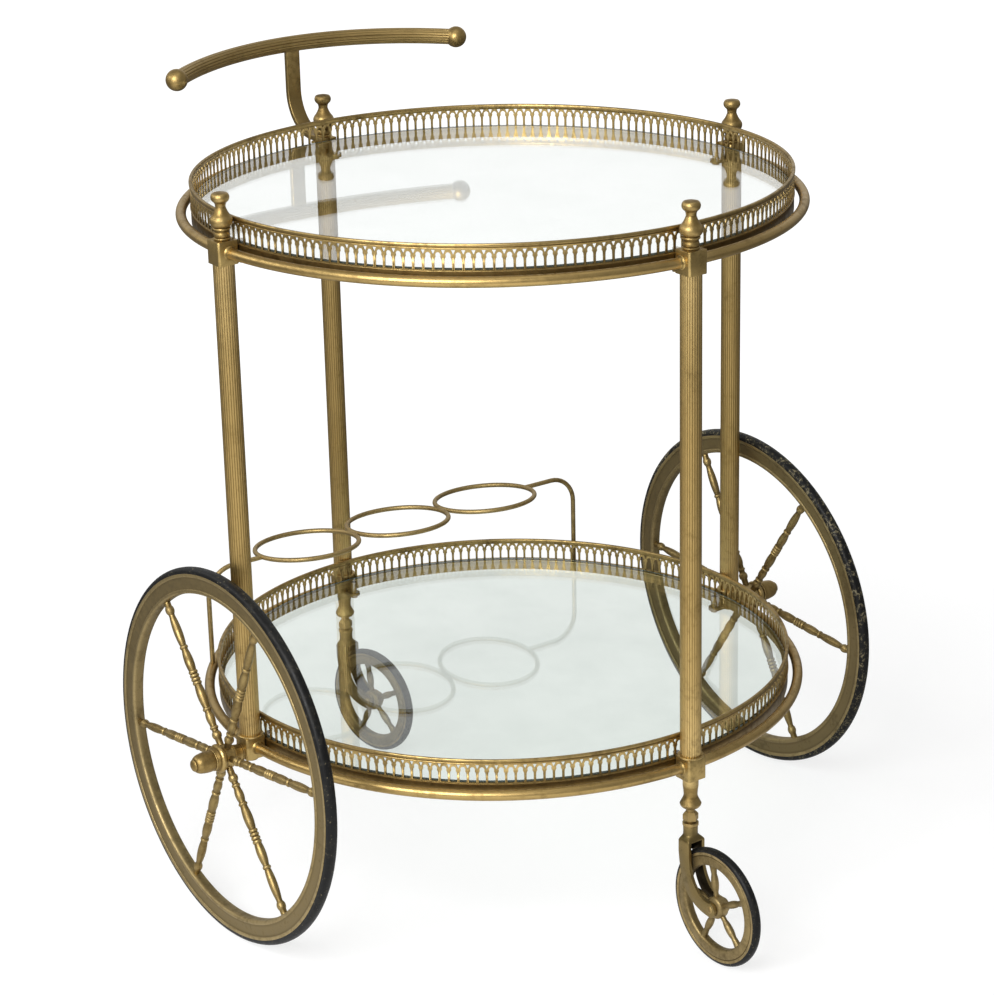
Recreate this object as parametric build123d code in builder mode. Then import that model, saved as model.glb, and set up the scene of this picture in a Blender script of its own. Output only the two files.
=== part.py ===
from build123d import *
import os
from math import asin, cos, degrees, radians, sin, sqrt

# Bar cart: two round glass trays on four reeded posts, two large side wheels, a caster in front and
# one behind, a push handle and a three-bottle holder. Millimetres, +Z up, origin on the floor in the
# middle of the cart's box. +X runs from the push handle to the front caster, +Y to the pusher's left.

os.makedirs("parts", exist_ok=True)

# Overall layout
wheel_radius = 175.0
wheel_plane = 309.3
post_circle = 282.0
lower_ring_height = 179.0
tier_pitch = 460.0

# Posts, blocks and finials
post_radius = 9.5
post_bore = 8.0
reed_count = 24
reed_groove = 0.45
block_width = 20.0
block_height = 21.0
block_chamfer = 1.5
collar_radius = 12.0
collar_height = 1.4
rod_radius = 3.0
rod_bore = 3.1
rod_head_radius = 6.0
rod_head_height = 3.0
rod_depth_in_socket = 8.0
finial_height = 41.5
finial_bore_depth = 18.0

# Ring tubes between the blocks
ring_circle = 280.5
ring_tube = 4.75
ring_bore = 3.75

# Trays: heights are counted from the middle of the ring tube
gallery_top = 29.6
gallery_foot = -7.5
gallery_radius = 271.3
gallery_wall = 1.2
rim_outer = 272.0
rim_inner = 268.9
rim_height = 5.0
rim_round = 1.2
arcade_count = 204
gallery_lengths = 34
seat_lengths = 12
length_seam = 0.06
arch_width = 5.9
arch_top = 22.4
arch_foot = 7.6
glass_top = 8.9
glass_thickness = 5.0
glass_radius = 269.8
glass_chamfer = 0.5
seat_width = 4.0
seat_sheet = 1.5
seat_drop = 7.0
lug_width = 12.0
lug_end = 257.0
lug_thickness = 3.0
screw_circle = 262.5
screw_radius = 2.0
screw_head_radius = 3.4
screw_head_height = 2.2
spacer_radius = 3.2

# Push handle
bar_radius = 7.75
bar_reeds = 16
bar_groove = 0.4
bar_reach = 335.7
bar_height = 732.7
bar_bow = 53.3
bar_droop = 6.2
bar_half_length = 160.0
ball_radius = 10.5
stem_width = 15.0
stem_thickness = 5.0
stem_bend = 40.0
stem_foot_round = 5.0
saddle_play = 0.1

# Bottle holder
wire_radius = 2.35
bottle_ring_circle = 50.8
bottle_row_reach = 176.0
bottle_ring_height = 277.8
bottle_ring_tilt = 6.0
leg_bend = 28.0

# Side wheels: stations run outward from the wheel's middle plane, or from its axis along a spoke
tyre_inner = 169.5
tyre_half_width = 5.3
rim_half_width = 5.6
wheel_rim_inner = 151.0
spoke_count = 6
left_spoke_angle = -4.6
right_spoke_angle = 6.8
left_wheel_lean = 2.4
right_wheel_lean = 1.1
left_wheel_toe = 0.0
right_wheel_toe = 1.5
spoke_tenon = 8.0
spoke_tenon_radius = 3.0
axle_radius = 4.5
axle_bore = 4.55
axle_depth = 6.0
washer_radius = 8.0
washer_start = -16.9
washer_end = -15.3
hub_start = -15.0
cap_start = 13.0
cap_cavity_end = 20.0
cap_cavity_radius = 6.3
axle_head_start = 13.6
axle_head_end = 16.0
axle_head_radius = 5.8

# Casters
front_caster_yaw = 1.0
rear_caster_yaw = 12.0
caster_trail = 37.0
caster_radius = 55.0
caster_tyre_inner = 51.2
caster_tyre_half_width = 4.2
caster_rim_inner = 38.8
caster_spokes = 5
caster_spoke_angle = 27.0
caster_hub_half = 5.4
caster_bore = 2.55
caster_axle_radius = 2.5
caster_rivet_radius = 3.4
caster_rivet_height = 1.0
socket_foot = 139.0
pin_radius = 4.0
pin_bore = 4.06
pin_top = 156.0
nut_top = 135.1
nut_foot = 126.7
nut_flat_radius = 6.2
crown_washer_radius = 7.3
crown_washer_top = 124.9
crown_top = 121.8
crown_radius = 6.65
crown_shoulder = 113.3
fork_top = 108.4
fork_bridge_foot = 104.0
fork_length = 14.0
fork_offset = 1.4
fork_half_width = 9.5
fork_gap_half = 6.0

# Heights and places that follow from the driving dimensions
upper_ring_height = lower_ring_height + tier_pitch
tiers = {"lower": lower_ring_height, "upper": upper_ring_height}
lower_block_top = lower_ring_height + block_height / 2
upper_block_foot = upper_ring_height - block_height / 2
upper_block_top = upper_ring_height + block_height / 2
lower_block_foot = lower_ring_height - block_height / 2
post_length = upper_block_foot - lower_block_top
front_reach = post_circle + (caster_trail + caster_radius) * cos(radians(front_caster_yaw))
tray_x = (bar_reach + bar_radius - front_reach) / 2
sides = {"front": (1, 0), "left": (0, 1), "rear": (-1, 0), "right": (0, -1)}
wheel_sides = {"left": 1, "right": -1}
wheel_leans = {"left": left_wheel_lean, "right": right_wheel_lean}
wheel_toes = {"left": left_wheel_toe, "right": right_wheel_toe}
block_face = post_circle + block_width / 2 - wheel_plane
arch_pitch = 360 / arcade_count
arches_in_length = arcade_count // gallery_lengths


def post_plane(side, height):
    """A level plane on a post's axis, with x pointing away from the trays."""
    dx, dy = sides[side]
    origin = (tray_x + dx * post_circle, dy * post_circle, height)
    return Plane(origin=origin, x_dir=(dx, dy, 0), z_dir=(0, 0, 1))


def turning_plane(origin, along, outward):
    """A plane for a turned outline: x runs along the turning axis and y away from it."""
    return Plane(origin=origin, x_dir=along, z_dir=Vector(along).cross(Vector(outward)))


def wheel_frame(name):
    """A side wheel's centre, its axle's outward direction, and the two directions in its plane."""
    outward = wheel_sides[name]
    lean = radians(wheel_leans[name])
    toe = radians(wheel_toes[name])
    centre = Vector(tray_x, outward * wheel_plane, wheel_radius)
    axle_line = Vector(sin(toe) * cos(lean), outward * cos(toe) * cos(lean), sin(lean))
    forward = Vector(cos(toe), -outward * sin(toe), 0)
    upward = Vector(-sin(toe) * sin(lean), -outward * cos(toe) * sin(lean), cos(lean))
    return centre, axle_line, forward, upward


def turned_face(plane, start, steps, bore=0.0):
    """Half the section of a turned piece, from (station, radius) at its start.
    Each step is (station, crest, radius): a straight line where crest is None, or an arc over it."""
    with BuildSketch(plane) as section:
        with BuildLine():
            point = start
            for station, crest, radius in steps:
                if crest is None:
                    Line(point, (station, radius))
                else:
                    ThreePointArc(point, ((point[0] + station) / 2, crest), (station, radius))
                point = (station, radius)
            corners = [(point[0], bore), (start[0], bore)]
            if point[1] > bore:
                corners.insert(0, point)
            if start[1] > bore:
                corners.append(start)
            Polyline(*corners)
        make_face()
    return section.sketch


def ring_face(plane, half_outline):
    """The section of a ring that is the same on both sides of the plane's y axis."""
    with BuildSketch(plane) as section:
        with BuildLine():
            Polyline(*half_outline)
            mirror(about=Plane.YZ)
        make_face()
    return section.sketch


# Reeded posts
for side in sides:
    with BuildPart() as post:
        with BuildSketch(post_plane(side, lower_block_top)):
            Circle(post_radius)
            with PolarLocations(post_radius, reed_count):
                Circle(reed_groove, mode=Mode.SUBTRACT)
            Circle(post_bore, mode=Mode.SUBTRACT)
        extrude(amount=post_length)
    post.part.label = f"post_{side}"
    export_step(post.part, f"parts/post_{side}.step")

# Upper blocks; the rear one is lower by the handle's foot, which lies on it
for side in sides:
    height = block_height - stem_thickness if side == "rear" else block_height
    with BuildPart() as upper_block:
        with BuildSketch(post_plane(side, upper_block_foot)) as block_outline:
            Rectangle(block_width, block_width)
            chamfer(block_outline.vertices(), length=block_chamfer)
            Circle(rod_bore, mode=Mode.SUBTRACT)
        extrude(amount=height)
    upper_block.part.label = f"upper_block_{side}"
    export_step(upper_block.part, f"parts/upper_block_{side}.step")

# Lower blocks, with the round collar that holds the post's foot; the side ones take the axles
for side in sides:
    with BuildPart() as lower_block:
        with BuildSketch(post_plane(side, lower_block_foot)) as block_outline:
            Rectangle(block_width, block_width)
            chamfer(block_outline.vertices(), length=block_chamfer)
            Circle(rod_bore, mode=Mode.SUBTRACT)
        extrude(amount=block_height)
        with BuildSketch(post_plane(side, lower_block_top)):
            Circle(collar_radius)
            Circle(post_radius + saddle_play, mode=Mode.SUBTRACT)
            with Locations((-post_circle, 0)):
                Circle(rim_outer, mode=Mode.SUBTRACT)
        extrude(amount=collar_height)
        if side in wheel_sides:
            wheel_centre, axle_line, forward, upward = wheel_frame(side)
            with BuildSketch(Plane(origin=wheel_centre, x_dir=forward, z_dir=axle_line).offset(washer_start)):
                Circle(axle_radius)
            extrude(amount=block_face - axle_depth - washer_start, mode=Mode.SUBTRACT)
    lower_block.part.label = f"lower_block_{side}"
    export_step(lower_block.part, f"parts/lower_block_{side}.step")

# Turned finials: two beads, a ring, a bulb, a neck and a button
finial_steps = [
    (2.2, 7.5, 6.4),
    (6.9, 7.1, 6.3),
    (8.6, None, 6.9),
    (10.9, 7.9, 7.0),
    (21.0, 9.6, 8.0),
    (27.0, 6.2, 4.9),
    (29.5, 4.5, 4.6),
    (33.0, 4.9, 6.4),
    (40.2, 8.1, 6.6),
    (finial_height, None, 3.6),
]
for side in sides:
    finial_plane = turning_plane(post_plane(side, upper_block_top).origin, (0, 0, 1), (1, 0, 0))
    with BuildPart() as finial:
        revolve(turned_face(finial_plane, (0, 6.6), finial_steps), axis=Axis(finial_plane.origin, (0, 0, 1)))
        with BuildSketch(post_plane(side, upper_block_top)):
            Circle(rod_bore)
        extrude(amount=finial_bore_depth, mode=Mode.SUBTRACT)
    finial.part.label = f"finial_{side}"
    export_step(finial.part, f"parts/finial_{side}.step")

# Tie rods inside the posts: the side ones have a head under their block, the others go into the sockets
with BuildPart() as tie_rods:
    for side in sides:
        rod_foot = lower_block_foot - (rod_depth_in_socket if side not in wheel_sides else 0)
        rod_length = upper_block_top + finial_bore_depth - rod_foot
        with BuildSketch(post_plane(side, rod_foot)):
            Circle(rod_radius)
        extrude(amount=rod_length)
        if side in wheel_sides:
            with BuildSketch(post_plane(side, rod_foot)):
                Circle(rod_head_radius)
            extrude(amount=-rod_head_height)
tie_rods.part.label = "tie_rods"
export_step(tie_rods.part, "parts/tie_rods.step")

# Ring tubes: four bent arcs at each tier, cut off at the blocks' faces
for tier, ring_height in tiers.items():
    with BuildPart() as ring_arcs:
        with Locations((tray_x, 0, ring_height)):
            Torus(ring_circle, ring_tube)
            Torus(ring_circle, ring_bore, mode=Mode.SUBTRACT)
            with PolarLocations(post_circle, len(sides)):
                Box(block_width, block_width, block_height, mode=Mode.SUBTRACT)
    ring_arcs.part.label = f"{tier}_ring_arcs"
    export_step(ring_arcs.part, f"parts/{tier}_ring_arcs.step")



def half_length_angle(lengths):
    """Half the angle of one of the lengths that make a ring, in radians."""
    return radians(180 / lengths) - length_seam / 2 / gallery_radius


def length_start(half_angle):
    """The upright plane through the tray's axis where a length starts; it ends at plus half_angle."""
    return Plane(
        origin=(0, 0, 0),
        x_dir=(cos(half_angle), -sin(half_angle), 0),
        z_dir=(-sin(half_angle), -cos(half_angle), 0),
    )


# One length of the pierced gallery: rim bead, arcade and plain band
half_gallery = half_length_angle(gallery_lengths)
arch_planes = []
for step in range(arches_in_length):
    turn = radians((step - (arches_in_length - 1) / 2) * arch_pitch)
    outward = (cos(turn), sin(turn), 0)
    arch_planes.append(
        Plane(
            origin=((rim_inner - 1) * cos(turn), (rim_inner - 1) * sin(turn), 0),
            x_dir=(-sin(turn), cos(turn), 0),
            z_dir=outward,
        )
    )
with BuildPart() as gallery_length:
    with BuildSketch(length_start(half_gallery)):
        with Locations((gallery_radius - gallery_wall / 2, (gallery_foot + gallery_top - rim_height / 2) / 2)):
            Rectangle(gallery_wall, gallery_top - rim_height / 2 - gallery_foot)
        with Locations(((rim_outer + rim_inner) / 2, gallery_top - rim_height / 2)):
            RectangleRounded(rim_outer - rim_inner, rim_height, rim_round)
    revolve(axis=Axis.Z, revolution_arc=degrees(2 * half_gallery))
    with BuildSketch(*arch_planes):
        arch_spring = arch_top - arch_width / 2
        with Locations((0, (arch_foot + arch_spring) / 2)):
            Rectangle(arch_width, arch_spring - arch_foot)
        with Locations((0, arch_spring)):
            Circle(arch_width / 2)
    extrude(amount=rim_outer - rim_inner + 2, mode=Mode.SUBTRACT)

# One length of the angle ring that the glass lies on
seat_outer = gallery_radius - gallery_wall
glass_foot = glass_top - glass_thickness
half_seat = half_length_angle(seat_lengths)
with BuildPart() as seat_length:
    with BuildSketch(length_start(half_seat)):
        with BuildLine():
            Polyline(
                (seat_outer, glass_foot),
                (seat_outer - seat_width, glass_foot),
                (seat_outer - seat_width, glass_foot - seat_sheet),
                (seat_outer - seat_sheet, glass_foot - seat_sheet),
                (seat_outer - seat_sheet, glass_foot - seat_drop),
                (seat_outer, glass_foot - seat_drop),
                close=True,
            )
        make_face()
    revolve(axis=Axis.Z, revolution_arc=degrees(2 * half_seat))

for tier, ring_height in tiers.items():
    with BuildPart() as gallery:
        with Locations((tray_x, 0, ring_height)):
            with PolarLocations(0, gallery_lengths):
                add(gallery_length.part)
    gallery.part.label = f"{tier}_gallery"
    export_step(gallery.part, f"parts/{tier}_gallery.step")

    with BuildPart() as glass_seat:
        with Locations((tray_x, 0, ring_height)):
            with PolarLocations(0, seat_lengths):
                add(seat_length.part)
    glass_seat.part.label = f"{tier}_glass_seat"
    export_step(glass_seat.part, f"parts/{tier}_glass_seat.step")

    with BuildPart() as glass:
        with BuildSketch(Plane(origin=(tray_x, 0, ring_height + glass_foot))):
            Circle(glass_radius)
        extrude(amount=glass_thickness)
        chamfer(glass.edges(), length=glass_chamfer)
    glass.part.label = f"{tier}_glass"
    export_step(glass.part, f"parts/{tier}_glass.step")

# Lugs from the blocks to under each tray
lug_start = post_circle - block_width / 2
lug_round = lug_end + lug_width / 2
for tier, ring_height in tiers.items():
    with BuildPart() as tray_lugs:
        with BuildSketch(*[post_plane(side, ring_height - block_height / 2) for side in sides]):
            with Locations(((lug_start + lug_round) / 2 - post_circle, 0)):
                Rectangle(lug_start - lug_round, lug_width)
            with Locations((lug_round - post_circle, 0)):
                Circle(lug_width / 2)
            with Locations((screw_circle - post_circle, 0)):
                Circle(screw_radius, mode=Mode.SUBTRACT)
        extrude(amount=lug_thickness)
    tray_lugs.part.label = f"{tier}_tray_lugs"
    export_step(tray_lugs.part, f"parts/{tier}_tray_lugs.step")

# Spacer screws that hold the trays up on the lugs: head, shank and spacer
with BuildPart() as tray_screws:
    for tier, ring_height in tiers.items():
        lug_foot = ring_height - block_height / 2
        spacer_length = ring_height + glass_foot - lug_foot - lug_thickness
        stretches = [
            (lug_foot - screw_head_height, screw_head_radius, screw_head_height),
            (lug_foot, screw_radius, lug_thickness),
            (lug_foot + lug_thickness, spacer_radius, spacer_length),
        ]
        for foot, radius, length in stretches:
            with BuildSketch(*[post_plane(side, foot) for side in sides]):
                with Locations((screw_circle - post_circle, 0)):
                    Circle(radius)
            extrude(amount=length)
tray_screws.part.label = "tray_screws"
export_step(tray_screws.part, "parts/tray_screws.step")

# Push handle: the bar is an arc that bows back from the cart, so its ends point forward and down a little
bow = sqrt(bar_bow**2 + bar_droop**2)
bar_arc_radius = (bar_half_length**2 + bow**2) / (2 * bow)
to_bar = Vector(-bar_bow, 0, bar_droop) / bow
bar_middle = Vector(tray_x - bar_reach, 0, bar_height)
bar_arc_centre = bar_middle - to_bar * bar_arc_radius
half_arc = asin(bar_half_length / bar_arc_radius)
bar_start = to_bar * cos(half_arc) - Vector(0, sin(half_arc), 0)
bar_along = to_bar * sin(half_arc) + Vector(0, cos(half_arc), 0)
bar_section = Plane(origin=bar_arc_centre + bar_start * bar_arc_radius, x_dir=bar_start, z_dir=bar_along)
bar_axis = Axis(bar_arc_centre, to_bar.cross(Vector(0, 1, 0)))
ball_places = []
for end in (-1, 1):
    to_ball = to_bar * cos(half_arc) + Vector(0, end * sin(half_arc), 0)
    ball_places.append(bar_arc_centre + to_ball * bar_arc_radius)
with BuildPart() as handle_bar:
    with BuildSketch(bar_section):
        Circle(bar_radius)
        with PolarLocations(bar_radius, bar_reeds):
            Circle(bar_groove, mode=Mode.SUBTRACT)
    revolve(axis=bar_axis, revolution_arc=degrees(2 * half_arc))
    with Locations(*ball_places):
        Sphere(ball_radius, mode=Mode.SUBTRACT)
handle_bar.part.label = "handle_bar"
export_step(handle_bar.part, "parts/handle_bar.step")

with BuildPart() as handle_balls:
    with Locations(*ball_places):
        Sphere(ball_radius)
handle_balls.part.label = "handle_balls"
export_step(handle_balls.part, "parts/handle_balls.step")

# Flat stem: down from the bar, round a bend and forward over the rear block, under the finial
stem_back = -bar_reach - stem_thickness / 2
stem_front = -bar_reach + stem_thickness / 2
bend_x = -bar_reach + stem_bend
bend_z = upper_block_top - stem_thickness / 2 + stem_bend
foot_low = upper_block_top - stem_thickness
foot_end = -(post_circle - block_width / 2)
with BuildPart() as handle_stem:
    with BuildSketch(Plane(origin=(tray_x, 0, 0), x_dir=(1, 0, 0), z_dir=(0, -1, 0))):
        with BuildLine():
            Line((stem_front, bar_height), (stem_front, bend_z))
            RadiusArc((stem_front, bend_z), (bend_x, upper_block_top), -(stem_bend - stem_thickness / 2))
            Line((bend_x, upper_block_top), (foot_end, upper_block_top))
            Line((foot_end, upper_block_top), (foot_end, foot_low))
            Line((foot_end, foot_low), (bend_x, foot_low))
            RadiusArc((bend_x, foot_low), (stem_back, bend_z), stem_bend + stem_thickness / 2)
            Line((stem_back, bend_z), (stem_back, bar_height))
            Line((stem_back, bar_height), (stem_front, bar_height))
        make_face()
    extrude(amount=stem_width / 2, both=True)
    fillet(handle_stem.edges().filter_by(Axis.Z).group_by(Axis.X)[-1], radius=stem_foot_round)
    with BuildSketch(post_plane("rear", upper_block_top)):
        Circle(rod_bore)
    extrude(amount=-stem_thickness, mode=Mode.SUBTRACT)
    with BuildSketch(Plane(origin=bar_middle, x_dir=(1, 0, 0), z_dir=(0, 1, 0))):
        Circle(bar_radius + saddle_play)
    extrude(amount=stem_width, both=True, mode=Mode.SUBTRACT)
handle_stem.part.label = "handle_stem"
export_step(handle_stem.part, "parts/handle_stem.step")

# Bottle holder: three touching wire rings in a row across the cart, tipped up a little in front
tilt = radians(bottle_ring_tilt)
bottle_pitch = 2 * (bottle_ring_circle + wire_radius)
bottle_x = tray_x - bottle_row_reach


def bottle_ring_plane(place):
    """The plane of a bottle ring: place is 1 for the left ring, 0 for the middle and -1 for the right."""
    origin = (bottle_x, place * bottle_pitch, bottle_ring_height)
    return Plane(origin=origin, x_dir=(cos(tilt), 0, sin(tilt)), z_dir=(-sin(tilt), 0, cos(tilt)))


for name, place in {"left": 1, "middle": 0, "right": -1}.items():
    with BuildPart() as bottle_ring:
        with Locations(bottle_ring_plane(place)):
            Torus(bottle_ring_circle, wire_radius)
    bottle_ring.part.label = f"bottle_ring_{name}"
    export_step(bottle_ring.part, f"parts/bottle_ring_{name}.step")

# Bent wire legs: up from the lower ring tube, round a bend and in to the outer bottle rings
leg_y = sqrt(ring_circle**2 - bottle_row_reach**2)
leg_foot = lower_ring_height
leg_tip = bottle_pitch + bottle_ring_circle
for name, place in wheel_sides.items():
    with BuildPart() as bottle_leg:
        with BuildLine():
            Line((bottle_x, place * leg_y, leg_foot), (bottle_x, place * leg_y, bottle_ring_height - leg_bend))
            leg_arc = ThreePointArc(
                (bottle_x, place * leg_y, bottle_ring_height - leg_bend),
                (
                    bottle_x,
                    place * (leg_y - leg_bend * (1 - cos(radians(45)))),
                    bottle_ring_height - leg_bend * (1 - sin(radians(45))),
                ),
                (bottle_x, place * (leg_y - leg_bend), bottle_ring_height),
            )
            Line(leg_arc @ 1, (bottle_x, place * leg_tip, bottle_ring_height))
        with BuildSketch(Plane(origin=(bottle_x, place * leg_y, leg_foot))):
            Circle(wire_radius)
        sweep()
        with Locations((tray_x, 0, lower_ring_height)):
            Torus(ring_circle, ring_tube, mode=Mode.SUBTRACT)
        with Locations(bottle_ring_plane(place)):
            Torus(bottle_ring_circle, wire_radius, mode=Mode.SUBTRACT)
    bottle_leg.part.label = f"bottle_leg_{name}"
    export_step(bottle_leg.part, f"parts/bottle_leg_{name}.step")

# Turned wheel parts: each step is (station, crest radius of an arc or None, radius)
spoke_steps = [
    (11.0, None, spoke_tenon_radius),
    (17.5, None, 3.2),
    (24.5, 4.5, 3.0),
    (26.5, None, 3.0),
    (29.5, 4.0, 3.1),
    (32.0, None, 3.3),
    (43.0, 4.1, 3.2),
    (44.5, None, 3.2),
    (47.5, 4.2, 3.3),
    (49.5, None, 3.4),
    (70.0, 4.4, 3.3),
    (73.5, 4.3, 3.3),
    (77.0, 4.3, 3.3),
    (80.5, 4.3, 3.3),
    (84.0, 4.3, 3.5),
    (104.0, 4.3, 3.0),
    (105.0, None, 3.0),
    (108.5, 3.9, 2.9),
    (110.0, None, 3.2),
    (137.0, 4.0, 2.8),
    (139.0, None, 2.8),
    (147.0, 4.2, 3.1),
    (wheel_rim_inner, None, 3.2),
]
hub_steps = [
    (-8.0, None, 8.4),
    (-5.0, 10.4, 10.2),
    (-4.2, None, 11.2),
    (3.4, None, 11.2),
    (4.0, None, 10.6),
    (10.0, 13.4, 10.2),
    (cap_start, None, 8.8),
]
cap_steps = [
    (14.2, 10.0, 9.3),
    (27.0, 9.6, 9.2),
    (34.2, 7.6, 3.4),
    (35.0, None, 0.0),
]
rim_half_section = [
    (0, wheel_rim_inner),
    (3.6, wheel_rim_inner + 0.2),
    (4.9, wheel_rim_inner + 0.9),
    (rim_half_width, wheel_rim_inner + 2.0),
    (rim_half_width, wheel_rim_inner + 3.8),
    (rim_half_width - 0.8, wheel_rim_inner + 4.6),
    (rim_half_width - 0.8, tyre_inner - 3.2),
    (rim_half_width, tyre_inner - 2.6),
    (rim_half_width, tyre_inner),
    (0, tyre_inner),
]
spoke_angles = {"left": left_spoke_angle, "right": right_spoke_angle}

for name in wheel_sides:
    wheel_centre, axle_line, forward, upward = wheel_frame(name)
    wheel_axis = Axis(wheel_centre, axle_line)
    wheel_section = turning_plane(wheel_centre, axle_line, forward)

    with BuildPart() as wheel_rim:
        revolve(ring_face(wheel_section, rim_half_section), axis=wheel_axis)
    wheel_rim.part.label = f"{name}_wheel_rim"
    export_step(wheel_rim.part, f"parts/{name}_wheel_rim.step")

    with BuildPart() as wheel_tyre:
        with BuildSketch(wheel_section):
            with BuildLine():
                Line((-tyre_half_width, tyre_inner), (tyre_half_width, tyre_inner))
                Line((tyre_half_width, tyre_inner), (tyre_half_width, tyre_inner + 1.6))
                ThreePointArc(
                    (tyre_half_width, tyre_inner + 1.6),
                    (0, wheel_radius),
                    (-tyre_half_width, tyre_inner + 1.6),
                )
                Line((-tyre_half_width, tyre_inner + 1.6), (-tyre_half_width, tyre_inner))
            make_face()
        revolve(axis=wheel_axis)
    wheel_tyre.part.label = f"{name}_wheel_tyre"
    export_step(wheel_tyre.part, f"parts/{name}_wheel_tyre.step")

    spoke_axes = []
    for step in range(spoke_count):
        turn = radians(spoke_angles[name] + step * 360 / spoke_count)
        spoke_axes.append(forward * cos(turn) + upward * sin(turn))

    with BuildPart() as wheel_spokes:
        for along in spoke_axes:
            spoke_plane = turning_plane(wheel_centre, along, axle_line)
            spoke_face = turned_face(spoke_plane, (spoke_tenon, spoke_tenon_radius), spoke_steps)
            revolve(spoke_face, axis=Axis(wheel_centre, along))
    wheel_spokes.part.label = f"{name}_wheel_spokes"
    export_step(wheel_spokes.part, f"parts/{name}_wheel_spokes.step")

    with BuildPart() as wheel_hub:
        revolve(turned_face(wheel_section, (hub_start, 7.6), hub_steps, axle_bore), axis=wheel_axis)
        for along in spoke_axes:
            with BuildSketch(Plane(origin=wheel_centre + along * spoke_tenon, z_dir=along)):
                Circle(spoke_tenon_radius)
            extrude(amount=spoke_tenon, mode=Mode.SUBTRACT)
    wheel_hub.part.label = f"{name}_wheel_hub"
    export_step(wheel_hub.part, f"parts/{name}_wheel_hub.step")

    with BuildPart() as hub_cap:
        revolve(turned_face(wheel_section, (cap_start, 8.8), cap_steps), axis=wheel_axis)
        with BuildSketch(Plane(origin=wheel_centre, x_dir=forward, z_dir=axle_line).offset(cap_start)):
            Circle(cap_cavity_radius)
        extrude(amount=cap_cavity_end - cap_start, mode=Mode.SUBTRACT)
    hub_cap.part.label = f"{name}_hub_cap"
    export_step(hub_cap.part, f"parts/{name}_hub_cap.step")

# Stub axles of the side wheels, with a washer face by the block and a head inside the cap
axle_steps = [
    (washer_start, None, axle_radius),
    (washer_start, None, washer_radius),
    (washer_end, None, washer_radius),
    (washer_end, None, axle_radius),
    (axle_head_start, None, axle_radius),
    (axle_head_start, None, axle_head_radius),
    (axle_head_end, None, axle_head_radius),
]
with BuildPart() as wheel_axles:
    for name in wheel_sides:
        wheel_centre, axle_line, forward, upward = wheel_frame(name)
        axle_plane = turning_plane(wheel_centre, axle_line, forward)
        axle_face = turned_face(axle_plane, (block_face - axle_depth, axle_radius), axle_steps)
        revolve(axle_face, axis=Axis(wheel_centre, axle_line))
wheel_axles.part.label = "wheel_axles"
export_step(wheel_axles.part, "parts/wheel_axles.step")

# Casters: heights from the floor, and stations from the wheel's middle plane
socket_steps = [
    (160.6, None, 7.1),
    (153.7, 6.6, 6.3),
    (148.8, 6.3, 7.0),
    (143.4, None, 9.7),
    (socket_foot, 8.9, 6.0),
]
caster_hub_steps = [
    (-4.2, None, 10.3),
    (4.2, None, 10.3),
    (caster_hub_half, None, 8.0),
]
caster_spoke_steps = [
    (14.0, None, 2.3),
    (31.0, 3.5, 2.5),
    (caster_rim_inner - 2, None, 3.1),
    (caster_rim_inner + 1, None, 3.4),
]
caster_rim_half_section = [
    (0, caster_rim_inner),
    (2.6, caster_rim_inner + 0.3),
    (4.2, caster_rim_inner + 1.6),
    (4.2, caster_rim_inner + 9.0),
    (3.8, caster_rim_inner + 9.5),
    (4.2, caster_rim_inner + 10.0),
    (4.2, caster_tyre_inner),
    (0, caster_tyre_inner),
]
caster_yaws = {"front": front_caster_yaw, "rear": rear_caster_yaw}

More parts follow.
